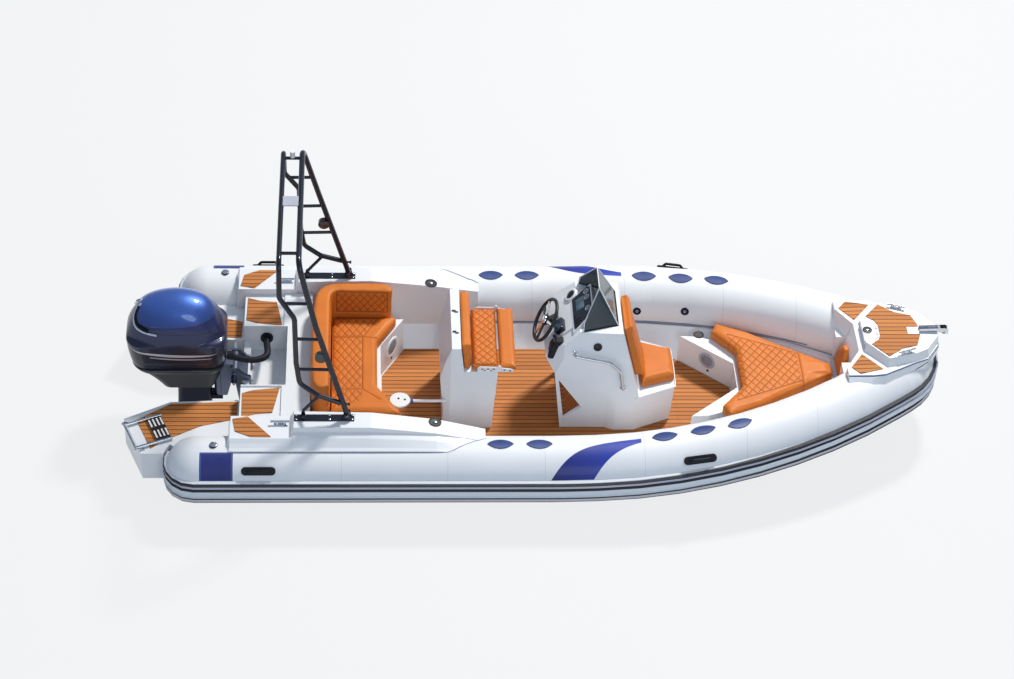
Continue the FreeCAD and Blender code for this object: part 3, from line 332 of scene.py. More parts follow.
def vinyl(name, looks=()):
    # Stitched marine vinyl: quilted inside its outlines, with seams between the panels
    s = Shade(name)
    colour = s.vary((0.60, 0.165, 0.022), 0.07, 5.0)
    height = s.noise(380.0, 3.0) * 0.25 + s.noise(14.0, 2.0) * 0.6
    parts = []
    for quilt in looks:
        u, v = (getattr(s, axis) for axis in quilt["axes"])
        a, b = (abs((u + v * slant) / quilt["pitch"]).wrapped(0.5) for slant in (quilt["slant"], -quilt["slant"]))
        stitch = 1.0 - (a.least(b) * quilt["pitch"]).ramp(0.0010, 0.0050)
        part = most([stitch * s.inside(polygon, u, v, 0.004) for polygon in quilt["areas"]]
                    + [1.0 - s.nearLine(ends, u, v).ramp(0.0015, 0.0045) for ends in quilt["seams"]])
        if "zone" in quilt:
            axis, low, high = quilt["zone"]
            part = part * getattr(s, axis).above(low) * getattr(s, axis).below(high)
        parts.append(part)
    if parts:
        line = most(parts)
        # Darker along the stitches and seams: painted shade in the sunk creases
        colour = s.mix(colour, (0.24, 0.045, 0.006), line * 0.75)
        height = height - line * 4.0
    s.set(Base_Color=colour, Roughness=s.noise(60.0).ramp(-1.3, 2.4), Specular_IOR_Level=0.25)
    s.relief(height, 0.0012, 0.5)
    return s.material


def cowlLacquer():
    # Dark metallic sides with two curved silver stripes and a seam under the dome
    s = Shade("engine_navy")
    side = abs(s.y)
    blend = (s.z + s.x * 0.06).ramp(0.80, 1.10)
    colour = s.mix(s.vary((0.006, 0.009, 0.028), 0.2, 5.0), s.vary((0.022, 0.036, 0.15), 0.12, 6.0), blend)
    curve = s.z - (s.x + 0.42) ** 2.0 * 0.30
    taper = ((s.x + 0.86) * (-0.18 - s.x) * 7.0).most(0.0)
    stripe = (1.0 - (abs(curve - 0.800) - taper * 0.015).ramp(0.0, 0.002)) * s.x.above(-0.86) * s.x.below(-0.18)
    second = (1.0 - (abs(curve - 0.764) - taper * 0.007).ramp(0.0, 0.002)) * s.x.above(-0.70) * s.x.below(-0.22)
    stripe = stripe.most(second * 0.8) * side.above(0.10)
    seam = s.band(s.z + s.x * 0.04, 0.985, 0.003, 0.001).most(s.band(s.z - s.x * 0.03, 0.655, 0.003, 0.001))
    colour = s.mix(colour, (0.56, 0.54, 0.58), stripe)
    colour = s.mix(colour, (0.003, 0.004, 0.008), seam)
    s.set(Base_Color=colour, Roughness=s.noise(50.0).ramp(-1.6, 3.6), Metallic=0.35, Coat_Weight=0.45)
    s.relief(s.noise(900.0, 1.0) * 0.15 - seam * 3.0 + stripe * 0.8, 0.0008, 0.3)
    return s.material


def domeLacquer():
    s = Shade("dome_blue")
    # Lighter towards the top: painted reflection and highlight of the sky
    colour = s.mix((0.012, 0.024, 0.14), (0.045, 0.12, 0.46), (s.z + s.noise(3.0) * 0.03).ramp(1.03, 1.20))
    s.set(Base_Color=s.mix(colour, (0.20, 0.36, 0.70), s.noise(700.0, 1.0).ramp(0.62, 0.75) * 0.3),
          Roughness=s.noise(40.0).ramp(-1.4, 3.0), Metallic=0.55, Coat_Weight=0.8)
    s.relief(s.noise(900.0, 1.0), 0.0003, 0.2)
    return s.material


def glass():
    s = Shade("tinted_glass")
    s.set(Base_Color=s.vary((0.015, 0.035, 0.050), 0.1, 8.0), Roughness=s.noise(20.0).ramp(-4.0, 14.0),
          Alpha=s.noise(3.0).ramp(-5.5, 1.6), Coat_Weight=0.5)
    s.relief(s.noise(6.0, 1.0), 0.0004, 0.2)
    return s.material


def archLamps():
    # Black housings, red to port and green to starboard, and a white light on the crown
    s = Shade("arch_lamps")
    colour = s.mix((0.035, 0.008, 0.008), (0.005, 0.014, 0.012), s.y.below(0.0))
    colour = s.mix(colour, (0.75, 0.76, 0.78), s.z.above(1.9))
    s.set(Base_Color=colour, Roughness=s.noise(60.0).ramp(-1.5, 4.0), Coat_Weight=0.6)
    s.relief(s.noise(300.0, 2.0), 0.0003, 0.3)
    return s.material


def speakerMesh():
    # Round holes in staggered rows
    s = Shade("speaker_mesh")
    pitch = 0.007
    wave = ((s.x + s.y) * (6.2832 / pitch)).math("SINE") * (s.z * (6.2832 / pitch)).math("SINE")
    hole = wave.ramp(0.1, 0.4)
    s.set(Base_Color=s.mix((0.34, 0.36, 0.42), (0.03, 0.032, 0.04), hole), Roughness=s.noise(80.0).ramp(-1.0, 2.0))
    s.relief(1.0 - hole, 0.001, 0.6)
    return s.material


def screenGlass():
    s = Shade("screen_blue")
    colour = s.mix((0.010, 0.022, 0.045), (0.16, 0.28, 0.36), (s.noise(9.0, 2.0) + (s.z - 1.1) * 2.0).ramp(0.4, 1.1))
    s.set(Base_Color=colour, Roughness=s.noise(30.0).ramp(-4.0, 8.0), Coat_Weight=1.0)
    s.relief(s.noise(5.0, 1.0), 0.0002, 0.1)
    return s.material


loungeAft = [(0.715, -0.345), (0.950, -0.345), (0.950, 0.255), (0.715, 0.255)]
loungePort = [(0.715, 0.268), (0.955, 0.268), (1.082, 0.500), (0.715, 0.500)]
loungeCorner = [(0.715, -0.560), (0.935, -0.480), (0.950, -0.358), (0.715, -0.358)]
sunpadQuilt = [(3.925, -0.388), (4.470, -0.165), (4.470, 0.165), (3.925, 0.388)]
helmQuilt = [(1.822, -0.325), (2.006, -0.325), (2.006, 0.325), (1.822, 0.325)]
backPort = [(0.740, 0.575), (1.150, 0.575), (1.150, 0.785), (0.740, 0.785)]
backAft = [(-0.570, 0.575), (0.480, 0.575), (0.480, 0.785), (-0.570, 0.785)]
upward = (0, 0, 1)
quilts = {
    "lounge": [{"axes": "xy", "face": upward, "pitch": 0.062, "slant": 0.62,
                "areas": [loungeAft, loungePort, loungeCorner],
                "seams": edgesOf(loungeAft) + edgesOf(loungePort) + [((0.950, -0.345), (1.09, -0.46)),
                                                                    ((0.955, 0.262), (1.07, 0.250))]}],
    "loungeBack": [{"axes": "xz", "face": (0, -1, 0), "pitch": 0.060, "slant": 0.75, "areas": [backPort],
                    "seams": edgesOf(backPort), "zone": ("y", 0.48, 0.62)},
                   {"axes": "yz", "face": (1, 0, 0), "pitch": 0.060, "slant": 0.75, "areas": [backAft],
                    "seams": edgesOf(backAft), "zone": ("x", 0.63, 0.72)}],
    "sunpad": [{"axes": "xy", "face": upward, "pitch": 0.070, "slant": 0.78, "areas": [sunpadQuilt],
                "seams": [(sunpadQuilt[0], (4.487, -0.158)), (sunpadQuilt[3], (4.487, 0.158)),
                          ((4.487, -0.42), (4.487, 0.42))]}],
    "helmSeat": [{"axes": "xy", "face": upward, "pitch": 0.070, "slant": 0.88, "areas": [helmQuilt],
                  "seams": edgesOf(helmQuilt)}],
}

materials = {
    "gelcoat": gelcoat(),
    "collar_fabric": collarFabric(),
    "strake_rubber": strakeRubber(),
    "blue_pad": plain("blue_pad", (0.014, 0.042, 0.19), 0.42, coat=0.1, amount=0.15),
    "black_rubber": plain("black_rubber", (0.010, 0.011, 0.016), 0.48, shine=0.2),
    "teak": teak(),
    "upholstery": vinyl("upholstery"),
    "stainless": plain("stainless", (0.62, 0.64, 0.68), 0.16, metallic=1.0, depth=0.0002),
    "arch_paint": plain("arch_paint", (0.007, 0.009, 0.020), 0.26, coat=0.3, shine=0.3),
    "arch_lamps": archLamps(),
    "engine_navy": cowlLacquer(),
    "dome_blue": domeLacquer(),
    "engine_black": plain("engine_black", (0.006, 0.008, 0.016), 0.38, shine=0.12),
    "engine_metal": plain("engine_metal", (0.010, 0.014, 0.034), 0.38, metallic=0.2, shine=0.15),
    "bracket_metal": plain("bracket_metal", (0.13, 0.15, 0.21), 0.36, metallic=0.7),
    "prop_metal": plain("prop_metal", (0.55, 0.56, 0.58), 0.25, metallic=1.0),
    "dash_black": plain("dash_black", (0.006, 0.010, 0.022), 0.16, coat=0.2),
    "tinted_glass": glass(),
    "grip_black": plain("grip_black", (0.012, 0.012, 0.015), 0.45),
    "white_plastic": plain("white_plastic", (0.78, 0.79, 0.80), 0.35),
    "screen_blue": screenGlass(),
    "speaker_mesh": speakerMesh(),
    "lip_silver": plain("lip_silver", (0.66, 0.68, 0.74), 0.28, metallic=0.45, coat=0.4),
    "label_grey": plain("label_grey", (0.40, 0.42, 0.50), 0.4),
    # Grey of the painted shade lines on the collar, also used for small fittings
    "shade_line_and_fitting_grey": plain("shade_line_and_fitting_grey", (0.20, 0.23, 0.34), 0.5),
    # Blue of the painted shade in the bow grooves; the table collar is coloured with it too
    "groove_shade_and_fitting_blue": plain("groove_shade_and_fitting_blue", (0.035, 0.09, 0.36), 0.4, coat=0.3),
}
for name, quilt in quilts.items():
    materials[name] = vinyl("vinyl_" + name, quilt)


def paint(mesh, material):
    mesh.materials.clear()
    mesh.materials.append(materials[material])


for row in frame["record"]["subparts"]:
    paint(nodes[row["node"]].data, "arch_lamps" if row["node"] == "arch_lamps" else row["material_slot"])
print("materials made", len(materials))


# Mesh pieces, made in the boat's own coordinates
def link(name, mesh, material):
    obj = bpy.data.objects.new(name, mesh)
    scene.collection.objects.link(obj)
    paint(mesh, material)
    return obj


def evaluated(obj):
    return bpy.data.meshes.new_from_object(obj.evaluated_get(bpy.context.evaluated_depsgraph_get()))


def modify(obj, kind, **settings):
    made = obj.modifiers.new(kind.lower(), kind)
    for name, value in settings.items():
        setattr(made, name, value)


def shape(obj, kind, **settings):
    # A modifier that is worked into the mesh at once
    modify(obj, kind, **settings)
    made = evaluated(obj)
    obj.modifiers.clear()
    obj.data = made


def arrayOf(values, what):
    out = np.empty(len(values) * 3)
    values.foreach_get(what, out)
    return out.reshape(-1, 3)


def coords(mesh):
    return arrayOf(mesh.vertices, "co")


def normalsOf(mesh):
    return arrayOf(mesh.vertex_normals, "vector")


def setCoords(mesh, points):
    mesh.vertices.foreach_set("co", points.ravel())


def join(obj, body, stands=None):
    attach(obj, body)
    if stands:
        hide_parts(stands)
    return obj


def meshOf(verts, faces, name):
    mesh = bpy.data.meshes.new(name)
    mesh.from_pydata([tuple(v) for v in verts], [], faces)
    bm = bmesh.new()
    bm.from_mesh(mesh)
    bmesh.ops.recalc_face_normals(bm, faces=bm.faces)
    bm.to_mesh(mesh)
    bm.free()
    return mesh


def prismParts(low, high):
    n = len(low)
    faces = [tuple(range(n - 1, -1, -1)), tuple(range(n, 2 * n))]
    return [*low, *high], faces + [(i, (i + 1) % n, n + (i + 1) % n, n + i) for i in range(n)]


def slabParts(outline, low, high):
    return prismParts([(x, y, low) for x, y in outline], [(x, y, high) for x, y in outline])


def ringFaces(rings, steps):
    faces = []
    for i in range(rings - 1):
        low, high = i * steps, (i + 1) * steps
        faces += [(low + k, low + (k + 1) % steps, high + (k + 1) % steps, high + k) for k in range(steps)]
    last = (rings - 1) * steps
    return faces + [tuple(range(steps - 1, -1, -1)), tuple(range(last, last + steps))]


def spinParts(profile, at, axis, steps=28):
    # Profile of (radius, height) turned about an axis
    turn = Vector((0, 0, 1)).rotation_difference(Vector(axis)).to_matrix()
    verts = []
    for r, h in profile:
        for k in range(steps):
            a = 2 * math.pi * k / steps
            verts.append(Vector(at) + turn @ Vector((r * math.cos(a), r * math.sin(a), h)))
    return verts, ringFaces(len(profile), steps)


def barParts(points, radius, steps=10):
    pts = [Vector(p) for p in points]
    verts, side = [], None
    for i, p in enumerate(pts):
        ahead = (pts[min(i + 1, len(pts) - 1)] - pts[max(i - 1, 0)]).normalized()
        if side is None:
            side = ahead.orthogonal().normalized()
        side = (side - ahead * side.dot(ahead)).normalized()
        other = ahead.cross(side)
        for k in range(steps):
            a = 2 * math.pi * k / steps
            verts.append(p + (side * math.cos(a) + other * math.sin(a)) * radius)
    return verts, ringFaces(len(pts), steps)


def boxParts(middle, size, angle=0.0, axis="Z"):
    turn = Matrix.Rotation(math.radians(angle), 3, axis)
    half = Vector(size) / 2
    verts = [Vector(middle) + turn @ Vector((a * half.x, b * half.y, c * half.z))
             for a in (-1, 1) for b in (-1, 1) for c in (-1, 1)]
    return verts, [(0, 1, 3, 2), (4, 6, 7, 5), (0, 4, 5, 1), (2, 3, 7, 6), (0, 2, 6, 4), (1, 5, 7, 3)]


def piece(name, parts, material, body="boat", bevel=0.0, stands=None):
    verts, faces = [], []
    for v, f in parts:
        start = len(verts)
        verts += v
        faces += [tuple(start + i for i in face) for face in f]
    obj = link(name, meshOf(verts, faces, name), material)
    if bevel:
        modify(obj, "BEVEL", width=bevel, segments=3, limit_method="ANGLE")
    obj.data.shade_smooth()
    obj.data.set_sharp_from_angle(angle=math.radians(35))
    return join(obj, body, stands)


# Fittings that are turned: a profile of (radius, height) and the places and directions where they sit
def roundFittings(name, spec):
    parts = [spinParts(spec["profile"], at, axis, spec.get("steps", 28)) for at, axis in spec["spots"]]
    return piece(name, parts, spec["material"], spec.get("body", "boat"))


def bothSides(spots):
    return [((x, side * y, z), (a, side * b, c)) for (x, y, z), (a, b, c) in spots for side in (1, -1)]


def collarSpots(places, proud=0.0):
    # Places on the collar: x, degrees up from the outside, side
    return [tuple(onCollar(x, angle, side, proud)) for x, angle, side in places]


podSlope = (0.123, 0.0, 0.992)
hatchTop = (4.969, 0.0, 0.8781)
consoleFlank = (0.0, -0.971, 0.238)
loungeFace = (0.8624, -0.5062, 0.0)
lockerFace = (-0.6344, -0.7730, 0.0)
fittings = {
    "pod_caps": {"material": "grip_black", "slot": "black_rubber",
        "profile": [(0.050, 0.0), (0.050, 0.004), (0.046, 0.007), (0.040, 0.007), (0.037, 0.002), (0.020, 0.0015),
            (0.0005, 0.0015)],
        "spots": bothSides([((1.510, 0.808, 0.6412), podSlope)])},
    "pod_cap_stars": {"material": "stainless",
        "profile": [(0.016, 0.0), (0.016, 0.006), (0.009, 0.009), (0.0005, 0.009)],
        "spots": bothSides([((1.510, 0.808, 0.6425), podSlope)])},
    "collar_valve_caps": {"material": "stainless",
        "profile": [(0.027, 0.0), (0.027, 0.003), (0.021, 0.005), (0.0005, 0.006)],
        "spots": bothSides([((-0.180, 1.0, 0.5901), (0, 0, 1))])},
    "inner_valves": {"material": "black_rubber",
        "profile": [(0.034, -0.004), (0.034, 0.004), (0.028, 0.007), (0.022, 0.007), (0.019, 0.003), (0.0005, 0.003)],
        "spots": collarSpots([(3.250, 168.7, 1), (3.661, 163.5, 1), (3.250, 168.7, -1), (3.661, 163.5, -1)])},
    "inner_valve_plugs": {"material": "shade_line_and_fitting_grey", "slot": "black_rubber",
        "profile": [(0.013, 0.0), (0.013, 0.005), (0.0005, 0.006)],
        "spots": collarSpots([(3.250, 168.7, 1), (3.661, 163.5, 1), (3.250, 168.7, -1), (3.661, 163.5, -1)], 0.003)},
    "console_inlet": {"material": "grip_black", "slot": "black_rubber",
        "profile": [(0.034, -0.006), (0.034, 0.004), (0.029, 0.007), (0.022, 0.006), (0.018, 0.001), (0.0005, 0.001)],
        "spots": [((2.779, -0.3305, 0.988), consoleFlank)]},
    "lounge_speaker_rim": {"material": "white_plastic", "steps": 40,
        "profile": [(0.092, 0.0), (0.092, 0.004), (0.086, 0.009), (0.070, 0.009), (0.066, 0.004), (0.0005, 0.004)],
        "spots": [((1.188, 0.4255, 0.285), loungeFace)]},
    "lounge_speaker_mesh": {"material": "speaker_mesh", "slot": "black_rubber", "steps": 40,
        "profile": [(0.065, 0.003), (0.060, 0.008), (0.035, 0.011), (0.0005, 0.012)],
        "spots": [((1.188, 0.4255, 0.285), loungeFace)]},
    "locker_speaker_rim": {"material": "label_grey", "slot": "white_plastic", "steps": 40,
        "profile": [(0.078, 0.0), (0.078, 0.004), (0.072, 0.008), (0.060, 0.008), (0.056, 0.004), (0.0005, 0.004)],
        "spots": [((3.775, 0.2948, 0.262), lockerFace)]},
    "locker_speaker_mesh": {"material": "speaker_mesh", "slot": "black_rubber", "steps": 40,
        "profile": [(0.055, 0.003), (0.050, 0.008), (0.030, 0.011), (0.0005, 0.012)],
        "spots": [((3.775, 0.2948, 0.262), lockerFace)]},
    "small_drains": {"material": "black_rubber",
        "profile": [(0.011, 0.0), (0.011, 0.003), (0.007, 0.004), (0.0005, 0.002)],
        "spots": [((3.790, 0.2824, 0.160), lockerFace), ((0.360, 0.835, 0.6363), (0, 0, 1)), ((0.360, -0.835, 0.6363),
            (0, 0, 1)), ((1.187, 0.4238, 0.163), loungeFace)]},
    "bow_cup_ring": {"material": "grip_black", "slot": "black_rubber",
        "profile": [(0.044, 0.0), (0.044, 0.003), (0.040, 0.006), (0.034, 0.005), (0.031, 0.001), (0.0005, 0.001)],
        "spots": [((3.715, 0.488, 0.3724), (0, 0, 1))]},
    "hatch_latch_ring": {"material": "grip_black", "slot": "black_rubber", "body": "hatch_lid",
        "profile": [(0.037, 0.0), (0.037, 0.002), (0.033, 0.004), (0.022, 0.004), (0.019, 0.001), (0.0005, 0.001)],
        "spots": [(hatchTop, (0, 0, 1))]},
    "hatch_latch_key": {"material": "stainless", "body": "hatch_lid",
        "profile": [(0.014, 0.0), (0.014, 0.004), (0.010, 0.006), (0.0005, 0.006)],
        "spots": [(hatchTop, (0, 0, 1))]},
    "wheel_cap": {"material": "stainless", "body": "helm_wheel",
        "profile": [(0.036, 0.013), (0.034, 0.019), (0.026, 0.023), (0.0005, 0.025)],
        "spots": [((2.39, 0.0, 0.975), (-0.8829, 0, 0.4695))]},
    "arch_bolts": {"material": "stainless", "body": "arch_frame",
        "profile": [(0.0135, 0.0), (0.0135, 0.005), (0.009, 0.009), (0.0005, 0.010)],
        "spots": bothSides([((0.835, 0.852, 0.745), (0, 1, 0)), ((0.835, 0.800, 0.745), (0, -1, 0))])},
    "arch_knobs": {"material": "arch_paint", "body": "arch_frame",
        "profile": [(0.008, -0.02), (0.008, 0.038), (0.013, 0.040), (0.013, 0.050), (0.008, 0.053), (0.0005, 0.053)],
        "spots": bothSides([((0.806, 0.826, 0.857), (1, 0, -0.1))])},
    "foot_bolts": {"material": "stainless",
        "profile": [(0.009, 0.0), (0.009, 0.005), (0.006, 0.007), (0.0005, 0.007)],
        "spots": bothSides([((x, y, 0.7090), (0, 0, 1)) for x in (0.446, 0.700, 0.874) for y in (0.804, 0.848)])},
    "lamp_lenses": {"material": "arch_lamps", "slot": "arch_paint", "body": "arch_frame", "steps": 36,
        "profile": [(0.041, 0.0), (0.039, 0.006), (0.026, 0.011), (0.0005, 0.013)],
        "spots": [((0.640, side * 0.7620, 1.300), (0, -side, 0)) for side in (1, -1)]},
    "table_holes": {"material": "grip_black", "slot": "black_rubber",
        "profile": [(0.0095, 0.0), (0.0095, 0.002), (0.006, 0.003), (0.0005, 0.002)],
        "spots": [((1.236, -0.338, 0.4382), (0, 0, 1)), ((1.286, -0.350, 0.4382), (0, 0, 1))]},
    "table_collar": {"material": "groove_shade_and_fitting_blue", "slot": "blue_pad",
        "profile": [(0.012, 0.0), (0.019, 0.001), (0.019, 0.020), (0.012, 0.021)],
        "spots": [((1.331, -0.345, 0.420), (1, 0, 0))]},
    "bracket_bolts": {"material": "stainless",
        "profile": [(0.013, 0.0), (0.013, 0.008), (0.008, 0.012), (0.0005, 0.012)],
        "spots": [((0.0695, side * 0.117, z), (1, 0, 0)) for side in (1, -1) for z in (0.35, 0.41)]},
    "tilt_nuts": {"material": "stainless", "body": "tilt_bracket",
        "profile": [(0.017, 0.0), (0.017, 0.016), (0.012, 0.020), (0.0005, 0.020)],
        "spots": [((-0.060, side * 0.140, 0.505), (0, side, 0)) for side in (1, -1)]},
}
for name, spec in fittings.items():
    roundFittings(name, spec)
print("turned fittings made")


# Painted shade: dark beads that follow the collar in the shadow lines where the liner meets it and along the edge of
# each pod
def beadLine(places, side):
    return [onCollar(x, angle, side, proud)[0] for x, angle, proud in places]


def angleAt(y):
    # Degrees up on the straight collar for a distance from the boat's centreline
    return math.degrees(math.acos((y - collar["halfSpread"]) / collar["radius"]))


podEdge = [(-0.066, 0.80), (-0.070, 0.86), (-0.072, 0.93), (-0.071, 1.01), (-0.066, 1.055), (-0.045, 1.068),
           (0.10, 1.068), (0.40, 1.068), (0.80, 1.068), (1.20, 1.067), (1.50, 1.066), (1.60, 1.063), (1.645, 1.050),
           (1.70, 1.012), (1.76, 0.978), (1.82, 0.945), (1.86, 0.930), (1.90, 0.905)]
linerShares = [0.35, 0.6, 0.9, 1.3, 1.7, 2.1, 2.42, 2.76, 3.0, 3.3, 3.6, 3.9, 4.2, 4.45, 4.70]
beads = {
    "pod_beads": {"material": "shade_line_and_fitting_grey", "slot": "black_rubber", "radius": 0.0034,
                  "rows": [(x, angleAt(y), 0.0008) for x, y in podEdge]},
    "liner_beads": {"material": "shade_line_and_fitting_grey", "slot": "black_rubber", "radius": 0.0055,
                    "rows": [(x, 180.0 + 14.0, 0.003) for x in linerShares]},
}
for name, spec in beads.items():
    parts = [barParts(beadLine(spec["rows"], side), spec["radius"], 8) for side in (1, -1)]
    piece(name, parts, spec["material"])
print("beads made")

# Two dark strips in the grooves of the bow moulding, painted shade in the shadow gaps there: x, half width and height
bowEnd = 5.3094
bowTop = 0.8720
bowRows = [(-0.539, 0.430, 0.082, 0.560, 0.232), (-0.349, 0.440, 0.072, 0.545, 0.212),
           (-0.249, 0.430, 0.069, 0.500, 0.192), (0.011, 0.300, 0.066, 0.330, 0.152),
           (0.121, 0.250, 0.069, 0.262, 0.112), (0.236, 0.080, 0.072, 0.090, 0.102)]
bowShadeStrips = {
    "bow_strip_blue": {"material": "groove_shade_and_fitting_blue", "drops": (0.093, 0.082, 0.079, 0.076, 0.078, 0.082), "inset": 0.009,
                       "radius": 0.0052},
    "bow_strip_black": {"material": "grip_black", "drops": (0.126, 0.131, 0.144, 0.140, 0.104, 0.096), "inset": 0.006,
                        "radius": 0.0045},
}
for name, spec in bowShadeStrips.items():
    parts = []
    for side in (1, -1):
        line = []
        for (x, topHalf, topDrop, rimHalf, rimDrop), drop in zip(bowRows, spec["drops"]):
            share = (drop - topDrop) / (rimDrop - topDrop)
            half = topHalf + share * (rimHalf - topHalf) - spec["inset"]
            line.append((bowEnd + x, side * half, bowTop - drop))
        parts.append(barParts(line, spec["radius"], 8))
    piece(name, parts, spec["material"])

# Instrument hood on the console, with a black panel and its instruments
dashRun = Vector((0.7278, 0.0, 0.6858))
dashUp = Vector((-0.6858, 0.0, 0.7278))
dashStart = Vector((2.635, 0.0, 1.112)) - dashRun * 0.190


def onDash(along, y, height):
    return dashStart + dashRun * along + dashUp * height + Vector((0, y, 0))


def dashPlate(outline, low, high):
    return prismParts([onDash(a, y, low) for a, y in outline], [onDash(a, y, high) for a, y in outline])


dash = {
    "slope": -43.3,
    "fascia": [(0.004, -0.190), (0.016, -0.203), (0.176, -0.203), (0.176, 0.203), (0.016, 0.203), (0.004, 0.190)],
    "hoodFoot": [(0.130, -0.272), (0.130, 0.118)], "hoodTop": [(0.348, -0.192), (0.348, 0.152)],
    "panel": [(0.152, -0.235), (0.152, 0.090), (0.170, 0.106), (0.310, 0.138), (0.334, 0.122), (0.334, -0.166),
              (0.316, -0.184), (0.166, -0.250)],
    "screen": [(0.190, -0.070), (0.190, 0.060), (0.268, 0.060), (0.268, -0.070)],
    "switches": [(0.178 + 0.034 * (k % 2), -0.215 + 0.030 * (k // 2)) for k in range(6)],
}
piece("dash_fascia", [dashPlate(dash["fascia"], 0.0004, 0.0118)], "gelcoat", bevel=0.003, stands="dash_panel")
hoodVerts = [onDash(a, y, 0.014) for a, y in dash["hoodFoot"] + dash["hoodTop"]]
hoodVerts += [Vector((2.800, -0.196, 1.104)), Vector((2.800, 0.156, 1.104)),
              onDash(0.130, -0.272, -0.010), onDash(0.130, 0.118, -0.010)]
hoodFaces = [(0, 1, 3, 2), (2, 3, 5, 4), (0, 2, 4, 6), (1, 7, 5, 3), (6, 4, 5, 7), (0, 6, 7, 1)]
piece("dash_hood", [(hoodVerts, hoodFaces)], "gelcoat", bevel=0.006)
piece("dash_glass", [dashPlate(dash["panel"], 0.012, 0.019)], "dash_black", bevel=0.003)
piece("dash_screen", [dashPlate(dash["screen"], 0.0185, 0.0215)], "screen_blue", bevel=0.0015)
buttons = [boxParts(onDash(a, y, 0.021), (0.026, 0.018, 0.008), dash["slope"], "Y") for a, y in dash["switches"]]
piece("dash_switches", buttons, "grip_black", bevel=0.0015)
gaugeSpots = [(onDash(0.300, 0.085, 0.019), dashUp), (onDash(0.300, 0.020, 0.019), dashUp),
              (onDash(0.300, -0.110, 0.019), dashUp)]
roundFittings("gauge_rims", {"material": "stainless", "spots": gaugeSpots,
                             "profile": [(0.027, 0.0), (0.027, 0.004), (0.024, 0.006), (0.021, 0.003)]})
roundFittings("gauge_faces", {"material": "label_grey", "slot": "white_plastic", "spots": gaugeSpots,
                              "profile": [(0.022, 0.0), (0.022, 0.003), (0.0005, 0.003)]})
roundFittings("compass_rim", {"material": "white_plastic", "steps": 40,
                              "spots": [(onDash(0.150, 0.158, 0.012), dashUp)],
                              "profile": [(0.062, -0.002), (0.060, 0.008), (0.052, 0.016), (0.040, 0.016),
                                          (0.036, 0.010), (0.0005, 0.010)]})
roundFittings("compass_dome", {"material": "dash_black", "steps": 40,
                               "spots": [(onDash(0.150, 0.158, 0.012), dashUp)],
                               "profile": [(0.037, 0.009), (0.033, 0.019), (0.022, 0.026), (0.0005, 0.029)]})
piece("dash_radio", [boxParts(onDash(0.020, -0.120, 0.030), (0.085, 0.125, 0.050), dash["slope"], "Y")], "dash_black",
      bevel=0.008)
piece("dash_radio_bezel", [dashPlate([(-0.018, -0.175), (-0.018, -0.065), (0.058, -0.065), (0.058, -0.175)], 0.054,
                                     0.057)], "screen_blue", bevel=0.001)

# Bright edging of the windscreen
screenEdges = [[(2.9405, 0.203, 1.106), (2.776, 0.122, 1.418)], [(2.9405, -0.203, 1.106), (2.776, -0.122, 1.418)],
               [(2.776, 0.120, 1.4195), (2.776, -0.120, 1.4195)],
               [(2.663, 0.2905, 1.114), (2.665, 0.270, 1.186), (2.774, 0.124, 1.414)],
               [(2.663, -0.2905, 1.114), (2.665, -0.270, 1.186), (2.774, -0.124, 1.414)]]
piece("screen_edging", [barParts(line, 0.0042, 8) for line in screenEdges], "white_plastic")
lowerEdges = [[(2.664, side * 0.2915, 1.1135), (2.9415, side * 0.2035, 1.1035)] for side in (1, -1)]
lowerEdges += [[(2.9425, 0.203, 1.1032), (2.9425, -0.203, 1.1032)]]
piece("screen_gasket", [barParts(line, 0.0045, 8) for line in lowerEdges], "black_rubber")

# Wheel trim: bright plates on the spokes
wheelAxis = Vector((-0.8829, 0, 0.4695))
wheelSide = Vector((0, 1, 0))
wheelUp = wheelSide.cross(wheelAxis).normalized() * -1
spokes = []
for angle in (90, 210, 330):
    a = math.radians(angle)
    out = wheelUp * math.sin(a) + wheelSide * math.cos(a)
    across = wheelUp * math.cos(a) - wheelSide * math.sin(a)
    for face in (0.0045, -0.0075):
        base = Vector((2.39, 0, 0.975)) + wheelAxis * face
        corners = [(0.040, -0.013), (0.160, -0.008), (0.160, 0.008), (0.040, 0.013)]
        low = [base + out * r + across * w for r, w in corners]
        spokes.append(prismParts(low, [v + wheelAxis * 0.003 for v in low]))
piece("wheel_spoke_plates", spokes, "stainless", "helm_wheel", bevel=0.001)
print("console dressed")

# Helm seat and console trim
latches = []
for y in (0.090, -0.154):
    latches += [boxParts((1.668, y, 0.9885), (0.030, 0.016, 0.007)),
                boxParts((1.688, y - 0.014, 0.9885), (0.026, 0.011, 0.007))]
piece("helm_latches", latches, "grip_black", bevel=0.002)
plates = [boxParts((x, side * 0.3535, z), size) for side in (1, -1)
          for x, z, size in ((1.905, 0.757, (0.012, 0.003, 0.012)), (1.955, 0.757, (0.012, 0.003, 0.012)),
                             (2.060, 0.762, (0.014, 0.003, 0.014)), (2.105, 0.755, (0.014, 0.003, 0.014)))]
piece("bolster_screws", plates, "shade_line_and_fitting_grey", bevel=0.001)
lip = [(3.118, 0.3535), (3.448, 0.2165), (3.452, 0.0)]
lipLine = [(x, y, 0.458) for x, y in lip] + [(x, -y, 0.458) for x, y in lip[:2]][::-1]
piece("seat_lip", [barParts(lipLine, 0.0065, 8)], "gelcoat")
railFeet = []
for side in (1, -1):
    railFeet += [((2.600, side * 0.338, 0.932), (0, side, 0.05)), ((3.006, side * 0.3525, 0.579), (0, side, 0))]
roundFittings("rail_flanges", {"material": "stainless", "spots": railFeet,
                               "profile": [(0.024, 0.0), (0.024, 0.004), (0.018, 0.008), (0.0125, 0.009)]})

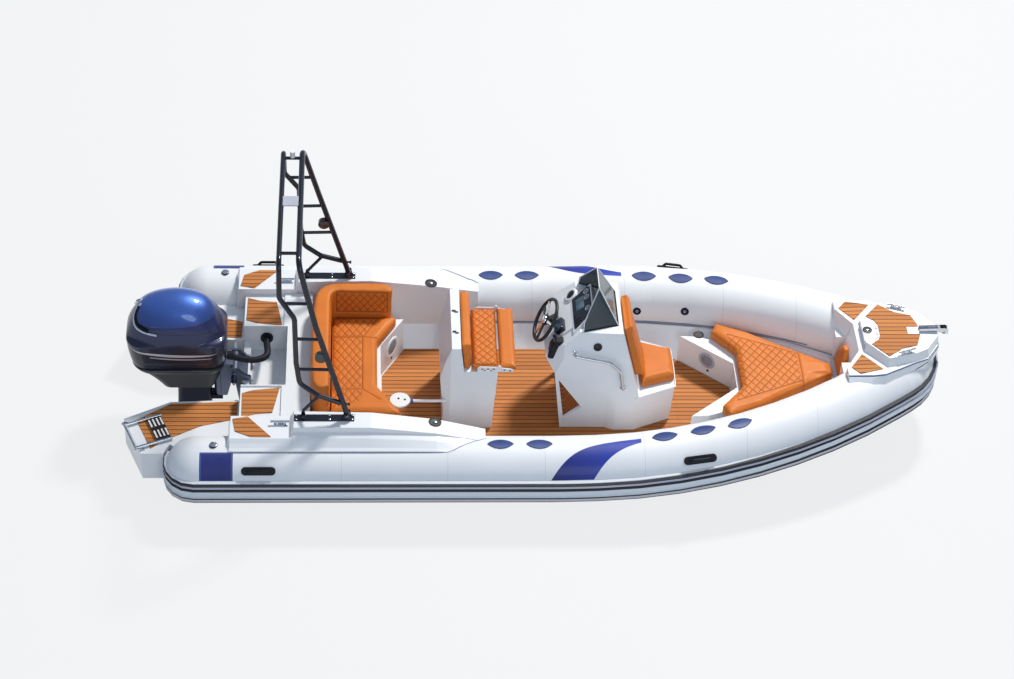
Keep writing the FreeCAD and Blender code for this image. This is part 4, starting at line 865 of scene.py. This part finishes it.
# Ladder treads: black covers with white grip pads, on the swinging ladder
ladder = {"hinge": Vector((-0.838, -0.774, 0.4493)), "heading": 22.6, "start": 0.178, "pitch": 0.030, "width": 0.024}


def onLadder(x, y, z):
    a = math.radians(ladder["heading"])
    return ladder["hinge"] + Vector((x * math.cos(a) - y * math.sin(a), x * math.sin(a) + y * math.cos(a), z))


treads, pads = [], []
for step in range(4):
    x = ladder["start"] + step * ladder["pitch"] + ladder["width"] / 2
    treads.append(boxParts(onLadder(x, 0, 0.0085), (0.022, 0.240, 0.003), ladder["heading"]))
    for y in (-0.062, 0.062):
        pads.append(boxParts(onLadder(x, y, 0.0108), (0.013, 0.082, 0.002), ladder["heading"]))
piece("ladder_treads", treads, "black_rubber", "ladder", bevel=0.0008)
piece("ladder_pads", pads, "white_plastic", "ladder", bevel=0.0005)

# Teak sheet on the bow end of the cockpit floor, and in the console's foot recess
bowFloor = [(3.4965, -0.4950), (3.5550, -0.4700), (3.9560, -0.1400), (3.9560, 0.1400), (3.5550, 0.4700),
            (3.4965, 0.4950)]
piece("bow_floor_teak", [slabParts(bowFloor, 0.1002, 0.1060)], "teak", bevel=0.001)
slope = [Vector((2.591, 0, 0.1225)), Vector((2.6975, 0, 0.3460))]
lift = Vector((-0.0040, 0, 0.0019))
slopeRings = [[slope[i] + Vector((0, y, 0)) + lift * k for i, y in ((0, -0.3), (1, -0.3), (1, 0.3), (0, 0.3))]
              for k in (0.1, 1)]
recess = [(2.534, -0.302), (2.588, -0.302), (2.588, 0.302), (2.534, 0.302)]
piece("recess_teak", [slabParts(recess, 0.1202, 0.1242), prismParts(*slopeRings)], "teak", bevel=0.0008)

# Plate on the arch's crown
piece("crown_plate", [slabParts([(0.350, -0.032), (0.474, -0.032), (0.474, 0.080), (0.350, 0.080)], 2.1462, 2.1500)],
      "label_grey", "arch_frame", bevel=0.001)

# Steering and fuel gear in front of the engine
gear = [barParts([(-0.060, -0.160, 0.505), (-0.060, -0.250, 0.505)], 0.011),
        barParts([(-0.060, 0.160, 0.505), (-0.060, 0.232, 0.505)], 0.011)]
piece("steering_rods", gear, "stainless", "tilt_bracket")
piece("steering_cylinder", [spinParts([(0.020, 0.0), (0.024, 0.004), (0.024, 0.060), (0.020, 0.064)],
                                      (-0.060, -0.160, 0.505), (0, -1, 0))], "engine_metal", "tilt_bracket")
piece("hose_gland", [spinParts([(0.030, -0.050), (0.036, -0.044), (0.036, -0.004), (0.031, 0.0)],
                               (-0.112, -0.088, 0.668), (-1, 0, 0.02))], "black_rubber", "engine_leg")
print("stern dressed")


def splineLine(points, resolution=10):
    curve = bpy.data.curves.new("route", "CURVE")
    curve.dimensions = "3D"
    curve.resolution_u = resolution
    spline = curve.splines.new("NURBS")
    spline.points.add(len(points) - 1)
    for point, at in zip(spline.points, points):
        point.co = (*at, 1.0)
    spline.order_u = 3
    spline.use_endpoint_u = True
    holder = bpy.data.objects.new("route", curve)
    mesh = bpy.data.meshes.new_from_object(holder)
    line = [v.co.copy() for v in mesh.vertices]
    bpy.data.objects.remove(holder)
    return line


# Cowl: the casing's own box, with its upper half drawn in to a dome
cowlForm = {"base": 0.880, "middle": -0.490, "aft": 0.430, "fore": 0.390, "half": 0.280, "voxel": 0.0105}


def domed(points):
    reach = np.where(points[:, 0] < cowlForm["middle"], cowlForm["aft"], cowlForm["fore"])
    spread = ((points[:, 0] - cowlForm["middle"]) / reach) ** 2 * 0.85 + (points[:, 1] / cowlForm["half"]) ** 2
    share = np.sqrt(np.clip(1.0 - 1.12 * spread, 0.02, 1.0))
    up = np.maximum(points[:, 2] - cowlForm["base"], 0.0)
    out = points.copy()
    out[:, 2] = np.minimum(points[:, 2], cowlForm["base"]) + up * share
    return out


cowl = link("cowl_shell", nodes["upper_cowl"].data.copy(), "engine_navy")
shape(cowl, "REMESH", mode="VOXEL", voxel_size=cowlForm["voxel"])
shape(cowl, "SMOOTH", factor=0.5, iterations=3)
setCoords(cowl.data, domed(coords(cowl.data)))
shape(cowl, "SMOOTH", factor=0.5, iterations=6)
paint(cowl.data, "engine_navy")
cowl.data.shade_smooth()
join(cowl, "engine_leg", "upper_cowl")

# The block that stands for the engine's inside, drawn in with the cowl
block = link("engine_block_core", nodes["engine_block"].data.copy(), "engine_black")
shape(block, "REMESH", mode="VOXEL", voxel_size=0.014)
paint(block.data, "engine_black")
core = coords(block.data)
middle = (core.max(0) + core.min(0)) / 2
shrunk = domed(middle + (core - middle) * 0.94)
shrunk[:, 2] -= np.clip(shrunk[:, 2] - 0.80, 0, 0.03)
setCoords(block.data, shrunk)
join(block, "engine_leg", "engine_block")


def cowlShell(name, planes, lift, material):
    # The cowl's skin inside some planes, lifted off it
    obj = link(name, cowl.data.copy(), material)
    bm = bmesh.new()
    bm.from_mesh(obj.data)
    for at, normal in planes:
        bmesh.ops.bisect_plane(bm, geom=bm.verts[:] + bm.edges[:] + bm.faces[:], plane_co=at, plane_no=normal,
                               clear_outer=True)
    bm.normal_update()
    moves = [(v, v.normal.copy()) for v in bm.verts]
    for v, normal in moves:
        v.co += normal * lift
    bm.to_mesh(obj.data)
    bm.free()
    modify(obj, "SOLIDIFY", thickness=lift * 1.5, offset=-1.0)
    join(obj, "engine_leg")


domePlanes = [((-0.82, 0, 1.045), (0.055, 0, -1.0)), ((-0.800, 0, 1.10), (-1.0, 0, 0.30))]
beltPlanes = [((-0.5, 0, 0.634), (0.02, 0, -1.0)), ((-0.5, 0, 0.658), (-0.02, 0, 1.0))]
cowlShell("cowl_dome", domePlanes, 0.006, "dome_blue")
cowlShell("cowl_belt", beltPlanes, 0.005, "engine_black")

# Bright crescent round the intake at the back of the cowl, and its dark inside: a black strip on the skin, painted
# shade of the intake's hollow
skin = BVHTree.FromPolygons([v.co.copy() for v in cowl.data.vertices], [tuple(p.vertices) for p in cowl.data.polygons])


def onCowl(point, proud):
    at, normal, _, _ = skin.find_nearest(Vector(point))
    return at + normal * proud


crescent = [(-0.640, -0.250, 1.010), (-0.740, -0.230, 1.015), (-0.815, -0.190, 1.030), (-0.850, -0.140, 1.060),
            (-0.850, -0.080, 1.100), (-0.820, -0.040, 1.140), (-0.770, -0.030, 1.170)]
lips, intakeShades = [], []
for side in (1, -1):
    line = splineLine([(x, side * y, z) for x, y, z in crescent], 6)
    lips.append(barParts([onCowl(p, 0.006) for p in line], 0.009, 8))
    inner = splineLine([(x + 0.030, side * y * 0.93, z + 0.012) for x, y, z in crescent[1:6]], 6)
    intakeShades.append(barParts([onCowl(p, 0.001) for p in inner], 0.016, 8))
piece("cowl_crescent", lips, "lip_silver", "engine_leg")
piece("cowl_intake_shade", intakeShades, "engine_black", "engine_leg")
print("engine dressed")


# Rigging hose, smooth through the route that the CAD gives
hose = {
    "route": [(0.180, 0.334, 0.470), (0.180, 0.250, 0.470), (0.196, 0.130, 0.520), (0.190, 0.010, 0.560),
              (0.110, -0.062, 0.590), (0.020, -0.085, 0.620), (-0.060, -0.088, 0.650), (-0.112, -0.088, 0.668)],
    "radius": 0.0268, "ringPitch": 0.012, "ringDepth": 0.0022, "sides": 20,
}


def ribbed(line):
    # A tube whose skin has shallow rings along its length
    sides = hose["sides"]
    verts, faces = barParts(line, 1.0, sides)
    gone = 0.0
    for i, point in enumerate(line):
        gone += (point - line[max(i - 1, 0)]).length
        r = hose["radius"] - hose["ringDepth"] * (0.5 - 0.5 * math.cos(2 * math.pi * gone / hose["ringPitch"]))
        for k in range(i * sides, (i + 1) * sides):
            verts[k] = point + (verts[k] - point) * r
    return verts, faces


def tube(name, parts):
    obj = link(name, meshOf(*parts, name), "black_rubber")
    obj.data.shade_smooth()
    return obj


def lengthOf(line):
    return round(sum((b - a).length for a, b in zip(line, line[1:])), 3)


hoseLine = splineLine(hose["route"])
hoseTube = tube("rigging_hose_soft", ribbed(splineLine(hose["route"], 60)))
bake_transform(hoseTube)
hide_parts("rigging_hose")
print("hose", lengthOf(hoseLine))

# Thin loop line that hangs at the transom's corner
loopRoute = [(0.030, -0.200, 0.452), (0.000, -0.229, 0.500), (-0.010, -0.275, 0.520), (0.012, -0.312, 0.520),
             (0.070, -0.335, 0.470), (0.120, -0.330, 0.400), (0.150, -0.315, 0.345)]
loopLine = splineLine(loopRoute)
loop = tube("fuel_line", barParts(loopLine, 0.006, 10))
join(loop, "boat")
print("fuel line", lengthOf(loopLine))


# Cushions: swollen by cloth simulation, then quilted
def insideOf(polygon, u, v):
    nearest = np.full(len(u), 1e9)
    for (ax, ay), (bx, by) in edgesOf(polygon):
        run = math.hypot(bx - ax, by - ay)
        nearest = np.minimum(nearest, ((v - ay) * (bx - ax) - (u - ax) * (by - ay)) / run)
    return nearest


def awayFrom(ends, u, v):
    (ax, ay), (bx, by) = ends
    square = (bx - ax) ** 2 + (by - ay) ** 2
    along = np.clip(((u - ax) * (bx - ax) + (v - ay) * (by - ay)) / square, 0, 1)
    return np.hypot(u - ax - along * (bx - ax), v - ay - along * (by - ay))


clothSettings = {"vertex_group_mass": "held", "use_pressure": True, "uniform_pressure_force": 4.0,
                 "tension_stiffness": 12.0, "compression_stiffness": 12.0, "bending_stiffness": 0.6}
clothFrames = 20
quilting = {"puff": 0.24, "stitchDepth": 0.0055, "seamDepth": 0.0050, "seamWidth": 0.008}
padding = {"inset": 0.005, "proud": 0.006, "drawnFrom": 4.40}


def swell(obj, held, cap):
    # Air pressure in cloth that is held where it lies on the boat
    rest = coords(obj.data)
    group = obj.vertex_groups.new(name="held")
    group.add([int(i) for i in np.nonzero(normalsOf(obj.data) @ held > 0.7)[0]], 1.0, "REPLACE")
    cloth = obj.modifiers.new("cloth", "CLOTH")
    for name, value in clothSettings.items():
        setattr(cloth.settings, name, value)
    cloth.settings.effector_weights.gravity = 0.0
    cloth.point_cache.frame_start = 1
    cloth.point_cache.frame_end = clothFrames
    for step in range(1, clothFrames + 1):
        scene.frame_set(step)
    moved = coords(evaluated(obj)) - rest
    scene.frame_set(1)
    obj.modifiers.clear()
    obj.vertex_groups.clear()
    far = np.linalg.norm(moved, axis=1, keepdims=True)
    setCoords(obj.data, rest + moved * np.minimum(1.0, cap / np.maximum(far, 1e-9)))


def quilted(made, quilt, points):
    u, v = (points[:, "xyz".index(axis)] for axis in quilt["axes"])
    facing = np.clip((normalsOf(made) @ np.array(quilt["face"], float) - 0.5) / 0.3, 0, 1)
    turns = [np.abs((u + v * slant) / quilt["pitch"]) % 1.0 for slant in (quilt["slant"], -quilt["slant"])]
    stitch = np.minimum(*(np.minimum(t, 1 - t) for t in turns))
    puff = np.clip(stitch / quilting["puff"], 0, 1)
    sink = np.zeros(len(points))
    for polygon in quilt["areas"]:
        near = np.clip(insideOf(polygon, u, v) / 0.006, 0, 1)
        sink = np.maximum(sink, quilting["stitchDepth"] * (1 - np.sqrt(puff)) * near)
    for ends in quilt["seams"]:
        away = awayFrom(ends, u, v) / quilting["seamWidth"]
        sink = np.maximum(sink, quilting["seamDepth"] * np.exp(-away ** 2))
    if "zone" in quilt:
        axis, low, high = quilt["zone"]
        where = points[:, "xyz".index(axis)]
        sink = sink * (where > low) * (where < high)
    return points - normalsOf(made) * (sink * facing)[:, None]


def cushion(spec):
    name = spec["node"] + "_soft"
    low, high = [np.array(v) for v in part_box(spec["node"])]
    if "outline" in spec:
        obj = link(name, meshOf(*slabParts(spec["outline"], low[2], high[2]), name), spec["material"])
        shape(obj, "BEVEL", width=spec["round"], segments=4, limit_method="ANGLE")
    else:
        obj = link(name, nodes[spec["node"]].data.copy(), spec["material"])
    middle, size = (low + high) / 2, high - low
    points = coords(obj.data)
    if "ahead" in spec:
        # Drawn out forwards to meet the piece in front
        reach = np.clip((points[:, 0] - padding["drawnFrom"]) / (high[0] - padding["drawnFrom"]), 0, 1)
        points[:, 0] += reach * spec["ahead"]
        high = high + np.array([spec["ahead"], 0, 0])
    setCoords(obj.data, middle + (points - middle) * (size - 2 * padding["inset"]) / size)
    shape(obj, "REMESH", mode="VOXEL", voxel_size=spec["voxel"])
    held = np.array(spec["held"], float)
    swell(obj, held, spec["cap"])
    shape(obj, "SUBSURF", levels=1, render_levels=1)
    points = coords(obj.data)
    for quilt in quilts.get(spec["material"], ()):
        points = quilted(obj.data, quilt, points)
    points = np.clip(points, low - padding["proud"], high + padding["proud"])
    for axis in range(3):
        if held[axis] < -0.9:
            points[:, axis] = np.maximum(points[:, axis], low[axis])
    setCoords(obj.data, points)
    obj.data.shade_smooth()
    paint(obj.data, spec["material"])
    join(obj, spec.get("body", "boat"), spec["node"])


# Plan of the lounge's backrest: one curved roll round the aft and port sides
backCurve = [(0.620, -0.615), (0.684, -0.590), (0.686, -0.540), (0.685, -0.450), (0.685, 0.420), (0.690, 0.500),
             (0.712, 0.536), (0.760, 0.545), (1.120, 0.537), (1.165, 0.532), (1.192, 0.535), (1.205, 0.560),
             (1.190, 0.600), (1.140, 0.626), (1.060, 0.636), (0.800, 0.640), (0.700, 0.630), (0.630, 0.600),
             (0.585, 0.545), (0.563, 0.460), (0.552, 0.300), (0.547, 0.000), (0.550, -0.400), (0.562, -0.540),
             (0.585, -0.595)]
down, upholstery = (0, 0, -1), "upholstery"
cushions = [
    {"node": "sunpad", "material": "sunpad", "held": down, "voxel": 0.014, "cap": 0.012, "ahead": 0.052},
    {"node": "bow_backrest", "material": upholstery, "held": down, "voxel": 0.010, "cap": 0.008},
    {"node": "console_seat", "material": upholstery, "held": down, "voxel": 0.010, "cap": 0.010},
    {"node": "console_backrest", "material": upholstery, "held": (-0.95, 0, -0.31), "voxel": 0.010, "cap": 0.010},
    {"node": "helm_seat", "material": "helmSeat", "held": down, "voxel": 0.011, "cap": 0.008},
    {"node": "helm_bolster", "material": upholstery, "held": down, "voxel": 0.010, "cap": 0.008, "body": "bolster"},
    {"node": "helm_backrest", "material": upholstery, "held": (-0.99, 0, -0.12), "voxel": 0.010, "cap": 0.008},
    {"node": "lounge_seat", "material": "lounge", "held": down, "voxel": 0.014, "cap": 0.012},
    {"node": "lounge_backrest", "material": "loungeBack", "held": down, "voxel": 0.013, "cap": 0.012,
     "outline": backCurve, "round": 0.028},
]
for spec in cushions:
    cushion(spec)
    print("cushion", spec["node"])


# Floor, light and camera
def stagePiece(name, verts, faces, build):
    obj = bpy.data.objects.new(name, meshOf(verts, faces, name))
    scene.collection.objects.link(obj)
    s = Shade(name)
    build(s)
    obj.data.materials.append(s.material)
    return obj


def paleFloor(s):
    s.set(Base_Color=s.vary((0.62, 0.64, 0.66), 0.01, 0.5), Roughness=s.noise(2.0).ramp(-4.0, 3.0))
    s.relief(s.noise(3.0), 0.001, 0.1)
    path = s.node("ShaderNodeLightPath")
    seen = Term(s, path.outputs["Is Camera Ray"]).most(Term(s, path.outputs["Is Glossy Ray"]))
    seen = seen.most(Term(s, path.outputs["Is Transmission Ray"]))
    glow = s.node("ShaderNodeEmission", values={"Color": (0.93, 0.94, 0.95), "Strength": 1.0})
    mixer = s.node("ShaderNodeMixShader", values={0: seen * 0.85})
    s.tree.links.new(s.bsdf.outputs[0], mixer.inputs[1])
    s.tree.links.new(glow.outputs[0], mixer.inputs[2])
    out = [n for n in s.tree.nodes if n.type == "OUTPUT_MATERIAL"][0]
    s.tree.links.new(mixer.outputs[0], out.inputs[0])


stagePiece("floor", [(-60, -60, 0), (60, -60, 0), (60, 60, 0), (-60, 60, 0)], [(0, 1, 2, 3)], paleFloor)

world = bpy.data.worlds.new("world")
scene.world = world
world.use_nodes = True
sky = world.node_tree.nodes["Background"]
sky.inputs[0].default_value = (0.66, 0.80, 1.0, 1.0)
sky.inputs[1].default_value = 0.42


def areaLight(name, at, target, size, power, colour):
    lamp = bpy.data.lights.new(name, "AREA")
    lamp.shape = "DISK"
    lamp.size = size
    lamp.energy = power
    lamp.color = colour
    obj = bpy.data.objects.new(name, lamp)
    obj.location = at
    obj.rotation_euler = (Vector(target) - Vector(at)).to_track_quat("-Z", "Y").to_euler()
    scene.collection.objects.link(obj)


areaLight("key", (8, 8, 15), (2.5, 0, 0), 2.4, 3400, (1.0, 0.965, 0.90))
areaLight("fill", (4, -12, 8), (2.5, 0, 0.3), 7.0, 420, (0.86, 0.93, 1.0))

camera = bpy.data.cameras.new("camera")
camera.sensor_width = 36.0
camera.lens = 36.0 * 2316.9 / 1014
camera.clip_end = 200.0
azimuth, elevation, roll = (math.radians(v) for v in (-4.77, 42.62, 3.37))
back = Vector((math.sin(azimuth) * math.cos(elevation), -math.cos(azimuth) * math.cos(elevation),
               math.sin(elevation)))
right = (-back).cross(Vector((0, 0, 1))).normalized()
up = right.cross(-back)
right, up = (right * math.cos(roll) + up * math.sin(roll), up * math.cos(roll) - right * math.sin(roll))
turn = Matrix((right, up, back)).transposed().to_4x4()
eye = bpy.data.objects.new("camera", camera)
eye.matrix_world = Matrix.Translation((0.97, -13.48, 13.21)) @ turn
scene.collection.objects.link(eye)
scene.camera = eye
scene.view_settings.view_transform = "Standard"
scene.view_settings.look = "None"
scene.view_settings.exposure = 0.0
print("stage set")
